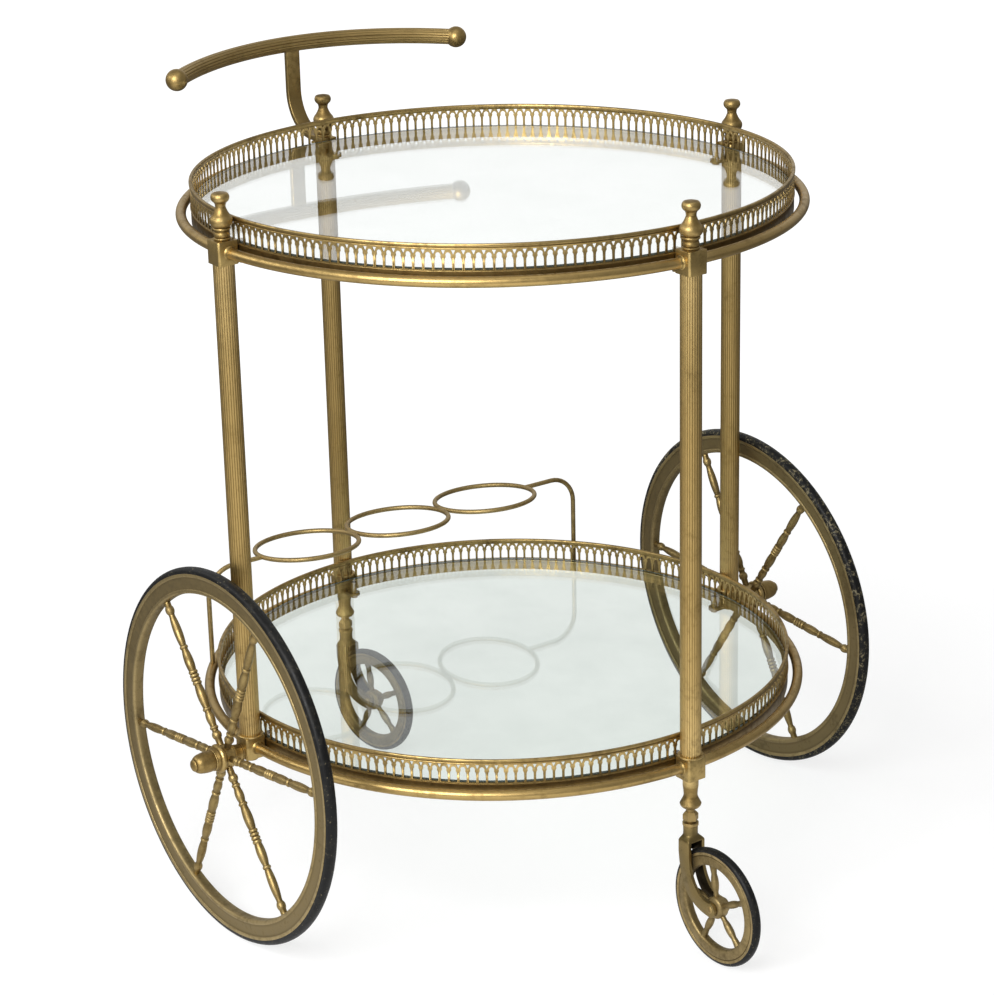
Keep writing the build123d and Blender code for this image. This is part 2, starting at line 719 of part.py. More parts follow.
for name, yaw in caster_yaws.items():
    turn = radians(yaw)
    trailing = Vector(cos(turn), sin(turn), 0)
    across = Vector(-sin(turn), cos(turn), 0)
    swivel_foot = post_plane(name, 0).origin
    caster_centre = swivel_foot + trailing * caster_trail + Vector(0, 0, caster_radius)
    caster_axis = Axis(caster_centre, across)
    caster_section = turning_plane(caster_centre, across, trailing)
    caster_side = Plane(origin=swivel_foot, x_dir=trailing, z_dir=-across)
    swivel_plane = turning_plane(swivel_foot, (0, 0, 1), trailing)
    swivel_level = Plane(origin=swivel_foot, x_dir=trailing, z_dir=(0, 0, 1))

    with BuildPart() as socket:
        socket_face = turned_face(swivel_plane, (lower_block_foot, 7.1), socket_steps)
        revolve(socket_face, axis=Axis(swivel_foot, (0, 0, 1)))
        with BuildSketch(swivel_level.offset(socket_foot)):
            Circle(pin_bore)
        extrude(amount=pin_top + 1 - socket_foot, mode=Mode.SUBTRACT)
        with BuildSketch(swivel_level.offset(lower_block_foot)):
            Circle(rod_bore)
        extrude(amount=-rod_depth_in_socket, mode=Mode.SUBTRACT)
    socket.part.label = f"{name}_caster_socket"
    export_step(socket.part, f"parts/{name}_caster_socket.step")

    with BuildPart() as caster_stem:
        with BuildSketch(swivel_level.offset(crown_top)):
            Circle(pin_radius)
        extrude(amount=pin_top - crown_top)
        with BuildSketch(swivel_level.offset(crown_top)):
            Circle(crown_washer_radius)
        extrude(amount=crown_washer_top - crown_top)
        with BuildSketch(swivel_level.offset(nut_foot)):
            RegularPolygon(nut_flat_radius, 6, major_radius=False)
        extrude(amount=nut_top - nut_foot)
    caster_stem.part.label = f"{name}_caster_stem"
    export_step(caster_stem.part, f"parts/{name}_caster_stem.step")

    with BuildPart() as fork:
        with BuildSketch(caster_side):
            with BuildLine():
                Line((-5.6, fork_top), (-5.6, 97.0))
                rear_edge = Spline(
                    (-5.6, 97.0),
                    (-4.1, 86.0),
                    (-0.6, 72.0),
                    (5.5, 60.5),
                    (14.5, 53.2),
                    (25.0, 49.0),
                    (34.5, 47.4),
                )
                eye = ThreePointArc(rear_edge @ 1, (43.0, 54.6), (37.0, 60.8))
                front_edge = Spline(
                    eye @ 1,
                    (29.0, 60.9),
                    (21.0, 64.8),
                    (13.6, 73.6),
                    (9.6, 84.5),
                    (8.4, 97.0),
                )
                Line(front_edge @ 1, (8.4, fork_top))
                Line((8.4, fork_top), (-5.6, fork_top))
            make_face()
        extrude(amount=fork_half_width, both=True)
        with BuildSketch(caster_side):
            with Locations((caster_trail, fork_bridge_foot / 2)):
                Rectangle(4 * caster_trail, fork_bridge_foot)
        extrude(amount=fork_gap_half, both=True, mode=Mode.SUBTRACT)
        with BuildSketch(swivel_level.offset(fork_top)):
            with Locations((fork_offset, 0)):
                Rectangle(fork_length, 2 * fork_half_width)
        with BuildSketch(swivel_level.offset(crown_shoulder)):
            Circle(crown_radius)
        loft()
        with BuildSketch(swivel_level.offset(crown_shoulder)):
            Circle(crown_radius)
        extrude(amount=crown_top - crown_shoulder)
        with BuildSketch(Plane(origin=caster_centre, x_dir=trailing, z_dir=-across)):
            Circle(caster_axle_radius)
        extrude(amount=2 * fork_half_width, both=True, mode=Mode.SUBTRACT)
    fork.part.label = f"{name}_caster_fork"
    export_step(fork.part, f"parts/{name}_caster_fork.step")

    rivet_start = -fork_half_width - caster_rivet_height
    rivet_steps = [
        (-fork_half_width, None, caster_rivet_radius),
        (-fork_half_width, None, caster_axle_radius),
        (fork_half_width, None, caster_axle_radius),
        (fork_half_width, None, caster_rivet_radius),
        (-rivet_start, None, caster_rivet_radius),
    ]
    with BuildPart() as caster_axle:
        revolve(turned_face(caster_section, (rivet_start, caster_rivet_radius), rivet_steps), axis=caster_axis)
    caster_axle.part.label = f"{name}_caster_axle"
    export_step(caster_axle.part, f"parts/{name}_caster_axle.step")

    with BuildPart() as caster_wheel:
        revolve(ring_face(caster_section, caster_rim_half_section), axis=caster_axis)
        revolve(turned_face(caster_section, (-caster_hub_half, 8.0), caster_hub_steps), axis=caster_axis)
        for step in range(caster_spokes):
            spoke_turn = radians(caster_spoke_angle + step * 360 / caster_spokes)
            along = trailing * cos(spoke_turn) + Vector(0, 0, sin(spoke_turn))
            spoke_face = turned_face(turning_plane(caster_centre, along, across), (8.0, 2.5), caster_spoke_steps)
            revolve(spoke_face, axis=Axis(caster_centre, along))
        with BuildSketch(Plane(origin=caster_centre, x_dir=trailing, z_dir=-across)):
            Circle(caster_bore)
        extrude(amount=2 * caster_hub_half, both=True, mode=Mode.SUBTRACT)
    caster_wheel.part.label = f"{name}_caster_wheel"
    export_step(caster_wheel.part, f"parts/{name}_caster_wheel.step")

    with BuildPart() as caster_tyre:
        with BuildSketch(caster_section):
            with BuildLine():
                Line((-caster_tyre_half_width, caster_tyre_inner), (caster_tyre_half_width, caster_tyre_inner))
                Line(
                    (caster_tyre_half_width, caster_tyre_inner),
                    (caster_tyre_half_width, caster_tyre_inner + 1.2),
                )
                ThreePointArc(
                    (caster_tyre_half_width, caster_tyre_inner + 1.2),
                    (0, caster_radius),
                    (-caster_tyre_half_width, caster_tyre_inner + 1.2),
                )
                Line(
                    (-caster_tyre_half_width, caster_tyre_inner + 1.2),
                    (-caster_tyre_half_width, caster_tyre_inner),
                )
            make_face()
        revolve(axis=caster_axis)
    caster_tyre.part.label = f"{name}_caster_tyre"
    export_step(caster_tyre.part, f"parts/{name}_caster_tyre.step")
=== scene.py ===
# Looks of the brass bar cart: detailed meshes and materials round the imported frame.
# Lengths in the tables are millimetres; they become metres where a mesh is made.
import math

import bmesh
import bpy
from mathutils import Matrix, Vector
from mathutils.geometry import tessellate_polygon


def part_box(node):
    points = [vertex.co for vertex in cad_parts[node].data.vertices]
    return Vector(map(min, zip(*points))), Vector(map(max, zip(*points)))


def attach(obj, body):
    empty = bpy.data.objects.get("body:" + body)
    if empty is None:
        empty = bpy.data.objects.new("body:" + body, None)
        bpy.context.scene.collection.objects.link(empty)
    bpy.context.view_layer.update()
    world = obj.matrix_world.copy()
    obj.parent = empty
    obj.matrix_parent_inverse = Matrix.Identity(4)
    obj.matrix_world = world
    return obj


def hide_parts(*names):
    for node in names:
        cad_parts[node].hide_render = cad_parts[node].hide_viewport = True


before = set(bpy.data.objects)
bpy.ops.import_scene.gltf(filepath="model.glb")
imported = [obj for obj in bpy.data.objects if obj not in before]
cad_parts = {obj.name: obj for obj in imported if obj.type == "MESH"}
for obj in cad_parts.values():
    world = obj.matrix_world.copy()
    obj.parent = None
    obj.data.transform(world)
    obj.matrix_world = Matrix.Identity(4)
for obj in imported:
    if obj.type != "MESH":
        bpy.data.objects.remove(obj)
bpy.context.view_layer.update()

MM = 0.001
AHEAD, LEFT, UP = Vector((1, 0, 0)), Vector((0, 1, 0)), Vector((0, 0, 1))
glass_low, glass_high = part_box("upper_glass")
TRAY_X = (glass_low.x + glass_high.x) / 2 / MM
RING_HEIGHT = {"lower": 179.0, "upper": 639.0}
SIDES = {"front": (1, 0), "left": (0, 1), "rear": (-1, 0), "right": (0, -1)}
WHEEL_SIDES = {"left": 1, "right": -1}
POST_CIRCLE = 282.0
BLOCK_HALF, BLOCK_HEIGHT, BLOCK_CUT = 10.0, 21.0, 1.5
GLASS_TOP, GLASS_THICK = 8.9, 5.0
STEM_THICK, STEM_WIDTH = 5.0, 15.0
SOFT_EDGE = 0.5


# ---------------------------------------------------------------- materials


def node_tree(name):
    """A new material, its nodes, its shader and the object coordinates."""
    material = bpy.data.materials.new(name)
    material.use_nodes = True
    tree = material.node_tree
    shader = tree.nodes["Principled BSDF"]
    place = tree.nodes.new("ShaderNodeTexCoord").outputs["Object"]
    return material, tree, shader, place


def noise(tree, place, size_mm, detail=4.0, rough=0.55, stretch=(1, 1, 1), shift=0.0):
    """Noise whose features are about size_mm across; stretch scales its coordinates per axis."""
    mapping = tree.nodes.new("ShaderNodeMapping")
    mapping.inputs["Location"].default_value = (shift, shift * 0.7, -shift)
    mapping.inputs["Scale"].default_value = stretch
    tree.links.new(place, mapping.inputs["Vector"])
    texture = tree.nodes.new("ShaderNodeTexNoise")
    texture.inputs["Scale"].default_value = 1 / (size_mm * MM)
    texture.inputs["Detail"].default_value = detail
    texture.inputs["Roughness"].default_value = rough
    tree.links.new(mapping.outputs["Vector"], texture.inputs["Vector"])
    return texture.outputs["Fac"]


def span(tree, value, low, high, to_low=0.0, to_high=1.0):
    """Maps value from low..high to to_low..to_high, clamped."""
    node = tree.nodes.new("ShaderNodeMapRange")
    node.inputs["From Min"].default_value = low
    node.inputs["From Max"].default_value = high
    node.inputs["To Min"].default_value = to_low
    node.inputs["To Max"].default_value = to_high
    tree.links.new(value, node.inputs["Value"])
    return node.outputs["Result"]


def maths(tree, operation, a, b):
    """Two values or numbers joined by a Math node; sums and differences stay within 0 to 1."""
    node = tree.nodes.new("ShaderNodeMath")
    node.operation = operation
    node.use_clamp = operation in ("ADD", "SUBTRACT")
    for socket, value in zip(node.inputs, (a, b)):
        if isinstance(value, (int, float)):
            socket.default_value = value
        else:
            tree.links.new(value, socket)
    return node.outputs["Value"]


def compare(tree, operation, value, constant):
    """DISTANCE or DOT_PRODUCT of a vector and a constant one."""
    node = tree.nodes.new("ShaderNodeVectorMath")
    node.operation = operation
    node.inputs[1].default_value = constant
    tree.links.new(value, node.inputs[0])
    return node.outputs["Value"]


def blend_colours(tree, share, a, b):
    """Colour a where share is 0 and colour b where it is 1."""
    node = tree.nodes.new("ShaderNodeMix")
    node.data_type = "RGBA"
    sockets = [s for s in node.inputs if s.type == "RGBA"]
    for socket, value in zip(sockets, (a, b)):
        if isinstance(value, tuple):
            socket.default_value = (*value, 1)
        else:
            tree.links.new(value, socket)
    tree.links.new(share, node.inputs["Factor"])
    return next(s for s in node.outputs if s.type == "RGBA")


def bump(tree, shader, layers):
    """Chains bumps: each layer is (height value, depth in mm)."""
    normal = None
    for height, depth in layers:
        node = tree.nodes.new("ShaderNodeBump")
        node.inputs["Strength"].default_value = 1.0
        node.inputs["Distance"].default_value = depth * MM
        tree.links.new(height, node.inputs["Height"])
        if normal is not None:
            tree.links.new(normal, node.inputs["Normal"])
        normal = node.outputs["Normal"]
    tree.links.new(normal, shader.inputs["Normal"])


def edges(tree):
    """Two shares from pointiness, which is 0.5 on a flat: worn outer edges, dirty inner corners."""
    pointed = tree.nodes.new("ShaderNodeNewGeometry").outputs["Pointiness"]
    return span(tree, pointed, 0.505, 0.56), span(tree, pointed, 0.495, 0.45)


def brass(name, clean, worn, stain, rough=(0.3, 0.46), stained=(0.5, 0.72), lump=0.0, grain=0.02,
          stretch=(1, 1, 1)):
    """Aged brass. clean, worn and stain are its colours, rough its range of roughness, and stained
    where in the noise the tarnish starts and is full. lump is the depth of cast unevenness, grain
    that of the fine grain, and stretch draws the grain out along a tube."""
    material, tree, shader, place = node_tree(name)
    clouds = noise(tree, place, 26, detail=6, rough=0.6)
    mottle = noise(tree, place, 5.5, detail=7, rough=0.68, shift=3.1)
    speck = noise(tree, place, 0.9, detail=3, rough=0.6, stretch=stretch, shift=7.7)
    edge, corner = edges(tree)
    half_clouds, half_mottle = (maths(tree, "MULTIPLY", part, 0.5) for part in (clouds, mottle))
    tarnish = span(tree, maths(tree, "ADD", half_clouds, half_mottle), *stained)
    flecks = span(tree, speck, 0.6, 0.72, 0.0, 0.55)
    dirt = maths(tree, "MAXIMUM", maths(tree, "MAXIMUM", tarnish, flecks), corner)
    dim = tuple(c * 0.86 for c in clean)
    tone = blend_colours(tree, span(tree, mottle, 0.35, 0.65), dim, clean)
    tone = blend_colours(tree, edge, tone, worn)
    tone = blend_colours(tree, maths(tree, "MULTIPLY", dirt, 0.8), tone, stain)
    tree.links.new(tone, shader.inputs["Base Color"])
    shader.inputs["Metallic"].default_value = 1.0
    dull = maths(tree, "MULTIPLY", dirt, 0.16)
    gloss = maths(tree, "ADD", span(tree, mottle, 0.3, 0.7, *rough), dull)
    tree.links.new(gloss, shader.inputs["Roughness"])
    layers = [(speck, grain)]
    if lump:
        layers.append((mottle, lump))
    bump(tree, shader, layers)
    return material


BRASS = (0.41, 0.28, 0.1)
BRASS_WORN = (0.58, 0.42, 0.175)
BRASS_STAIN = (0.13, 0.085, 0.03)
tube_brass = brass(
    "tube_brass", BRASS, BRASS_WORN, BRASS_STAIN, grain=0.015, stretch=(1, 1, 0.06),
)
bent_brass = brass("bent_tube_brass", BRASS, BRASS_WORN, BRASS_STAIN)
cast_brass = brass(
    "cast_brass", clean=(0.34, 0.23, 0.08), worn=(0.56, 0.41, 0.17), stain=(0.1, 0.066, 0.023),
    rough=(0.34, 0.5), stained=(0.45, 0.66), lump=0.14,
)
block_brass = brass(
    "block_brass", clean=(0.25, 0.17, 0.058), worn=(0.5, 0.36, 0.14), stain=(0.085, 0.056, 0.02),
    stained=(0.46, 0.68), lump=0.1,
)
fork_brass = brass(
    "fork_brass", clean=(0.19, 0.14, 0.055), worn=(0.3, 0.22, 0.09), stain=(0.08, 0.057, 0.024),
    rough=(0.38, 0.54), lump=0.1,
)
bar_brass = brass(
    "handle_bar_brass", clean=(0.43, 0.3, 0.115), worn=(0.58, 0.42, 0.18),
    stain=(0.14, 0.095, 0.033),
)
strip_brass = brass(
    "pierced_strip_brass", clean=(0.265, 0.18, 0.064), worn=(0.5, 0.36, 0.145),
    stain=(0.075, 0.05, 0.018), stained=(0.46, 0.68), lump=0.03,
)
spoke_brass = brass(
    "turned_spoke_brass", clean=(0.275, 0.197, 0.078), worn=(0.45, 0.335, 0.145),
    stain=BRASS_STAIN, rough=(0.38, 0.52), stained=(0.46, 0.67),
)
rim_brass = brass(
    "wheel_rim_brass", clean=(0.31, 0.235, 0.11), worn=(0.48, 0.37, 0.18),
    stain=(0.12, 0.092, 0.046), rough=(0.42, 0.58), stained=(0.46, 0.68), lump=0.08,
)
# nearly black brass: painted shade for the caster forks' inner faces and undersides
painted_shade_brass = brass(
    "fork_painted_shade_brass", clean=(0.02, 0.015, 0.008), worn=(0.08, 0.06, 0.03),
    stain=(0.01, 0.008, 0.005), rough=(0.45, 0.6),
)
wire_brass = brass(
    "wire_brass", clean=(0.32, 0.23, 0.095), worn=(0.44, 0.32, 0.14), stain=(0.13, 0.09, 0.037),
    rough=(0.4, 0.54),
)
caster_brass = brass(
    "caster_wheel_brass", clean=(0.25, 0.185, 0.08), worn=(0.4, 0.3, 0.14),
    stain=(0.1, 0.075, 0.035), rough=(0.4, 0.56), stained=(0.45, 0.66), lump=0.08,
)
seat_brass = brass(
    "seat_ring_brass", clean=(0.45, 0.33, 0.14), worn=(0.56, 0.41, 0.17), stain=(0.25, 0.18, 0.08),
    rough=(0.4, 0.56),
)
dull_brass = brass(
    "tarnished_brass", clean=(0.2, 0.14, 0.055), worn=(0.38, 0.27, 0.11), stain=(0.07, 0.05, 0.022),
    rough=(0.4, 0.56), lump=0.05,
)


def clear_glass(name, clean, dusty):
    """Polished float glass, faintly green and dusty. Lamp light passes through to what is below."""
    material, tree, shader, place = node_tree(name)
    shader.inputs["Transmission Weight"].default_value = 1.0
    shader.inputs["IOR"].default_value = 1.5
    haze = span(tree, noise(tree, place, 60, detail=5), 0.35, 0.75)
    tree.links.new(blend_colours(tree, haze, clean, dusty), shader.inputs["Base Color"])
    smears = noise(tree, place, 7, detail=8, rough=0.7, shift=2.0)
    tree.links.new(span(tree, smears, 0.45, 0.8, 0.0, 0.035), shader.inputs["Roughness"])
    bump(tree, shader, [(noise(tree, place, 90, detail=1), 0.02)])
    clear = tree.nodes.new("ShaderNodeBsdfTransparent")
    clear.inputs["Color"].default_value = (0.93, 0.965, 0.95, 1)
    to_lamp = tree.nodes.new("ShaderNodeLightPath").outputs["Is Shadow Ray"]
    mix = tree.nodes.new("ShaderNodeMixShader")
    tree.links.new(to_lamp, mix.inputs[0])
    tree.links.new(shader.outputs[0], mix.inputs[1])
    tree.links.new(clear.outputs[0], mix.inputs[2])
    tree.links.new(mix.outputs[0], tree.nodes["Material Output"].inputs["Surface"])
    return material


def ground_edge():
    """The matt, blue-green ground edge of a glass pane."""
    material, tree, shader, place = node_tree("ground_glass_edge")
    chips = noise(tree, place, 1.6, detail=5, rough=0.65)
    share = span(tree, chips, 0.35, 0.65)
    tone = blend_colours(tree, share, (0.14, 0.19, 0.175), (0.28, 0.35, 0.32))
    tree.links.new(tone, shader.inputs["Base Color"])
    tree.links.new(span(tree, chips, 0.3, 0.7, 0.35, 0.6), shader.inputs["Roughness"])
    bump(tree, shader, [(chips, 0.05)])
    return material


def worn_rubber(name, chipped):
    """Black tyre, scuffed, with chips that show the dusty brass under it; a low chipped means more
    of them."""
    material, tree, shader, place = node_tree(name)
    scuff = noise(tree, place, 9, detail=8, rough=0.72)
    chips = noise(tree, place, 2.2, detail=5, rough=0.65, shift=4.0)
    black, dusty, bare = (0.004, 0.004, 0.004), (0.022, 0.021, 0.017), (0.2, 0.17, 0.1)
    tone = blend_colours(tree, span(tree, scuff, 0.5, 0.72), black, dusty)
    chip_share = span(tree, chips, chipped, chipped + 0.07)
    share = maths(tree, "MULTIPLY", chip_share, span(tree, scuff, 0.48, 0.57))
    tree.links.new(blend_colours(tree, share, tone, bare), shader.inputs["Base Color"])
    tree.links.new(span(tree, scuff, 0.3, 0.7, 0.34, 0.6), shader.inputs["Roughness"])
    shader.inputs["Specular IOR Level"].default_value = 0.22
    bump(tree, shader, [(chips, 0.12), (scuff, 0.2)])
    return material


panes = {
    "upper": clear_glass("upper_clear_glass", clean=(0.9, 0.925, 0.91), dusty=(0.86, 0.89, 0.87)),
    # the lower pane's colours are darker and greyer than the upper one's: painted shade of the
    # upper tray over it, on top of its faint green and dust
    "lower": clear_glass("lower_glass_tint_and_painted_shade", clean=(0.78, 0.836, 0.796), dusty=(0.72, 0.78, 0.74)),
}
glass_edge = ground_edge()
rubber = worn_rubber("worn_black_rubber", 0.6)
chipped_rubber = worn_rubber("chipped_black_rubber", 0.5)

# ------------------------------------------------------------------ meshes
SHARP_ANGLE = 34
MERGE_DISTANCE = 1e-7
TINY = 1e-6


def piece(name, verts, faces, body, slot, material, replaced=(), sharp=SHARP_ANGLE):
    """A new mesh object from millimetre coordinates, smooth but for edges above the sharp angle."""
    mesh = bpy.data.meshes.new(name)
    mesh.from_pydata([Vector(v) * MM for v in verts], [], faces)
    edit = bmesh.new()
    edit.from_mesh(mesh)
    bmesh.ops.remove_doubles(edit, verts=edit.verts, dist=MERGE_DISTANCE)
    bmesh.ops.recalc_face_normals(edit, faces=edit.faces)
    edit.to_mesh(mesh)
    edit.free()
    mesh.shade_smooth()
    mesh.set_sharp_from_angle(angle=math.radians(sharp))
    mesh.materials.append(material)
    obj = bpy.data.objects.new(name, mesh)
    bpy.context.scene.collection.objects.link(obj)
    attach(obj, body)
    if replaced:
        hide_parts(*replaced)
    return obj


def join(parts):
    """One list of vertices and one of faces from several."""
    verts, faces = [], []
    for part_verts, part_faces in parts:
        base = len(verts)
        verts += part_verts
        faces += [[base + i for i in face] for face in part_faces]
    return verts, faces


def prism_faces(count):
    """Faces of a prism whose foot is the first count vertices and whose top is the next count."""
    ends = [list(range(count)), list(range(count, 2 * count))]
    return ends + [[i, (i + 1) % count, count + (i + 1) % count, count + i] for i in range(count)]


def arc_through(a, b, c, count):
    """Points after a, up to c, on the circle through three plane points."""
    ax, ay = a
    bx, by = b
    cx, cy = c
    d = 2 * (ax * (by - cy) + bx * (cy - ay) + cx * (ay - by))
    if abs(d) < 1e-9:
        shares = [k / count for k in range(1, count + 1)]
        return [(ax + (cx - ax) * share, ay + (cy - ay) * share) for share in shares]
    a2, b2, c2 = ax * ax + ay * ay, bx * bx + by * by, cx * cx + cy * cy
    ux = (a2 * (by - cy) + b2 * (cy - ay) + c2 * (ay - by)) / d
    uy = (a2 * (cx - bx) + b2 * (ax - cx) + c2 * (bx - ax)) / d
    start, middle, end = (math.atan2(p[1] - uy, p[0] - ux) for p in (a, b, c))
    turn = (end - start) % (2 * math.pi)
    if (middle - start) % (2 * math.pi) > turn:
        turn -= 2 * math.pi
    radius = math.hypot(ax - ux, ay - uy)
    angles = [start + turn * k / count for k in range(1, count + 1)]
    return [(ux + radius * math.cos(angle), uy + radius * math.sin(angle)) for angle in angles]


def turned(start, steps, count=8):
    """Outline of a turned piece from start, a (station, radius). Each step is (station, crest,
    radius): a line where crest is None, else an arc that reaches the crest halfway."""
    outline = [start]
    for station, crest, radius in steps:
        if crest is None:
            outline.append((station, radius))
        else:
            point = outline[-1]
            halfway = ((point[0] + station) / 2, crest)
            outline += arc_through(point, halfway, (station, radius), count)
    return outline


def lathe(outline, centre, along, outward, segments=48, closed=False):
    """Turns an outline of (station, radius) about an axis. closed joins its last point to its
    first."""
    centre, along, outward = Vector(centre), Vector(along), Vector(outward)
    side = along.cross(outward)
    verts, rows = [], []
    for station, radius in outline:
        row = []
        for k in range(segments):
            if radius < TINY and k:
                row.append(row[0])
                continue
            angle = 2 * math.pi * k / segments
            spoke = outward * math.cos(angle) + side * math.sin(angle)
            row.append(len(verts))
            verts.append(centre + along * station + spoke * radius)
        rows.append(row)
    faces = []
    pairs = list(zip(rows, rows[1:])) + ([(rows[-1], rows[0])] if closed else [])
    for low, high in pairs:
        for k in range(segments):
            nxt = (k + 1) % segments
            face = list(dict.fromkeys((low[k], low[nxt], high[nxt], high[k])))
            if len(face) > 2:
                faces.append(face)
    return verts, faces


def sweep(section, path, side, closed=False):
    """Runs a section of (out, side) offsets along a path; side is the direction that stays square
    to it."""
    side = Vector(side).normalized()
    count = len(path)
    verts, faces = [], []
    for k, point in enumerate(path):
        before = path[k - 1] if k or closed else path[k]
        after = path[(k + 1) % count] if k + 1 < count or closed else path[k]
        tangent = (Vector(after) - Vector(before)).normalized()
        out = side.cross(tangent).normalized()
        for a, b in section:
            verts.append(Vector(point) + out * a + side * b)
    size = len(section)
    for k in range(count if closed else count - 1):
        low, high = k * size, (k + 1) % count * size
        for i in range(size):
            j = (i + 1) % size
            faces.append([low + i, low + j, high + j, high + i])
    if not closed:
        faces += [list(range(size)), list(range((count - 1) * size, count * size))]
    return verts, faces


def round_section(radius, count):
    """Points of a circle."""
    angles = [2 * math.pi * k / count for k in range(count)]
    return [(radius * math.cos(angle), radius * math.sin(angle)) for angle in angles]


def reeded_section(radius, reeds, depth, fine=8):
    """Rounded reeds with sharp valleys between them."""
    points = []
    for k in range(reeds * fine):
        phase = (k % fine) / fine * 2 - 1
        r = radius - depth * (1 - math.sqrt(max(0.0, 1 - phase * phase)))
        angle = 2 * math.pi * k / (reeds * fine)
        points.append((r * math.cos(angle), r * math.sin(angle)))
    return points


def quarter_bend(x, z, across, up, steps):
    """Points of a quarter circle from (x, z + up) to (x + across, z), without the first."""
    angles = [math.pi / 2 * k / steps for k in range(1, steps + 1)]
    return [(x + across * (1 - math.cos(a)), z + up * (1 - math.sin(a))) for a in angles]


def repaint(obj, material, chosen):
    """Gives a second material to the faces whose middle, in millimetres, is chosen."""
    obj.data.materials.append(material)
    for face in obj.data.polygons:
        if chosen(face.center / MM):
            face.material_index = 1


def bevelled(obj, angle=30):
    """Softens an object's edges that are sharper than the angle, for good."""
    modifier = obj.modifiers.new("bevel", "BEVEL")
    modifier.width = SOFT_EDGE * MM
    modifier.segments = 2
    modifier.limit_method = "ANGLE"
    modifier.angle_limit = math.radians(angle)
    evaluated = obj.evaluated_get(bpy.context.evaluated_depsgraph_get())
    mesh = bpy.data.meshes.new_from_object(evaluated)
    obj.modifiers.clear()
    obj.data = mesh
    mesh.shade_smooth()
    mesh.set_sharp_from_angle(angle=math.radians(SHARP_ANGLE))


def post_point(side, reach, height, across=0.0):
    """A point by its distance from the trays' axis towards a post, its height, and its place
    across."""
    dx, dy = SIDES[side]
    return Vector((TRAY_X + dx * reach - dy * across, dy * reach + dx * across, height))


# ------------------------------------------------ posts, blocks and finials
POST_RADIUS, POST_REEDS, REED_DEPTH = 9.5, 24, 0.38
POST_FOOT = RING_HEIGHT["lower"] + BLOCK_HEIGHT / 2
POST_TOP = RING_HEIGHT["upper"] - BLOCK_HEIGHT / 2
COLLAR = [(0, 9.6), (0, 12), (0.9, 12), (1.4, 11.5), (1.4, 9.6)]
FINIAL = [
    (2.2, 7.5, 6.4), (6.9, 7.1, 6.3), (8.6, None, 6.9), (10.9, 7.9, 7.0), (21.0, 10.1, 8.2),
    (27.0, 6.2, 4.9), (29.5, 4.5, 4.6), (33.0, 4.9, 6.4), (40.2, 8.1, 6.6), (41.3, 4.6, 0.0),
]

reeds = reeded_section(POST_RADIUS, POST_REEDS, REED_DEPTH)
for side in SIDES:
    heights = [POST_FOOT + (POST_TOP - POST_FOOT) * k / 6 for k in range(7)]
    path = [post_point(side, POST_CIRCLE, z) for z in heights]
    piece(f"reeded_tube_{side}", *sweep(reeds, path, LEFT), "stand", "aged_brass", tube_brass,
          [f"post_{side}"], sharp=28)


def block(name, side, foot, top, replaced):
    """A square block on a post's axis, with chamfered and softened corners."""
    half, inner = BLOCK_HALF, BLOCK_HALF - BLOCK_CUT
    corners = []
    for sx, sy in ((1, 1), (-1, 1), (-1, -1), (1, -1)):
        pair = [(half * sx, inner * sy), (inner * sx, half * sy)]
        corners += pair if sx * sy > 0 else reversed(pair)
    verts = [post_point(side, POST_CIRCLE + a, z, b) for z in (foot, top) for a, b in corners]
    faces = prism_faces(len(corners))
    bevelled(piece(name, verts, faces, "stand", "aged_brass", block_brass, replaced))


finial_outline = turned((0, 6.6), FINIAL)
low_foot = RING_HEIGHT["lower"] - BLOCK_HEIGHT / 2
up_top = POST_TOP + BLOCK_HEIGHT
for side in SIDES:
    block(f"lower_cube_{side}", side, low_foot, POST_FOOT, [f"lower_block_{side}"])
    # the rear block is lower by the handle's stem, which lies on it
    stem_space = STEM_THICK if side == "rear" else 0
    block(f"upper_cube_{side}", side, POST_TOP, up_top - stem_space, [f"upper_block_{side}"])
    collar_place = post_point(side, POST_CIRCLE, POST_FOOT)
    piece(f"collar_{side}", *lathe(COLLAR, collar_place, UP, AHEAD, closed=True),
          "stand", "aged_brass", cast_brass)
    finial_place = post_point(side, POST_CIRCLE, up_top)
    piece(f"turned_finial_{side}", *lathe(finial_outline, finial_place, UP, AHEAD),
          "stand", "aged_brass", cast_brass, [f"finial_{side}"])

# ------------------------------------------------------ ring tubes and trays
TUBE_CIRCLE, TUBE_RADIUS = 280.5, 4.75
ARC_STEPS = 48
SOLDER = [(-0.6, 4.0), (-0.6, 6.6), (0.4, 6.2), (1.0, 5.6), (1.9, 5.1), (3.0, 4.8), (3.0, 4.0)]
block_angle = math.asin(BLOCK_HALF / POST_CIRCLE)
arc_angle = math.pi / 2 - 2 * block_angle


def tube_point(angle, height):
    """A point on a ring tube's middle line."""
    return (TRAY_X + TUBE_CIRCLE * math.cos(angle), TUBE_CIRCLE * math.sin(angle), height)


for tier, height in RING_HEIGHT.items():
    arcs, fillets = [], []
    for step in range(len(SIDES)):
        start = step * math.pi / 2 + block_angle
        path = [tube_point(start + arc_angle * k / ARC_STEPS, height) for k in range(ARC_STEPS + 1)]
        arcs.append(sweep(round_section(TUBE_RADIUS, 28), path, UP))
        for away in (-1, 1):
            angle = step * math.pi / 2 + away * block_angle
            tangent = (-away * math.sin(angle), away * math.cos(angle), 0)
            fillets.append(lathe(SOLDER, tube_point(angle, height), tangent, UP, 28, True))
    piece(f"{tier}_ring_tube", *join(arcs), "stand", "aged_brass", bent_brass,
          [f"{tier}_ring_arcs"])
    piece(f"{tier}_solder_fillets", *join(fillets), "stand", "aged_brass", block_brass)

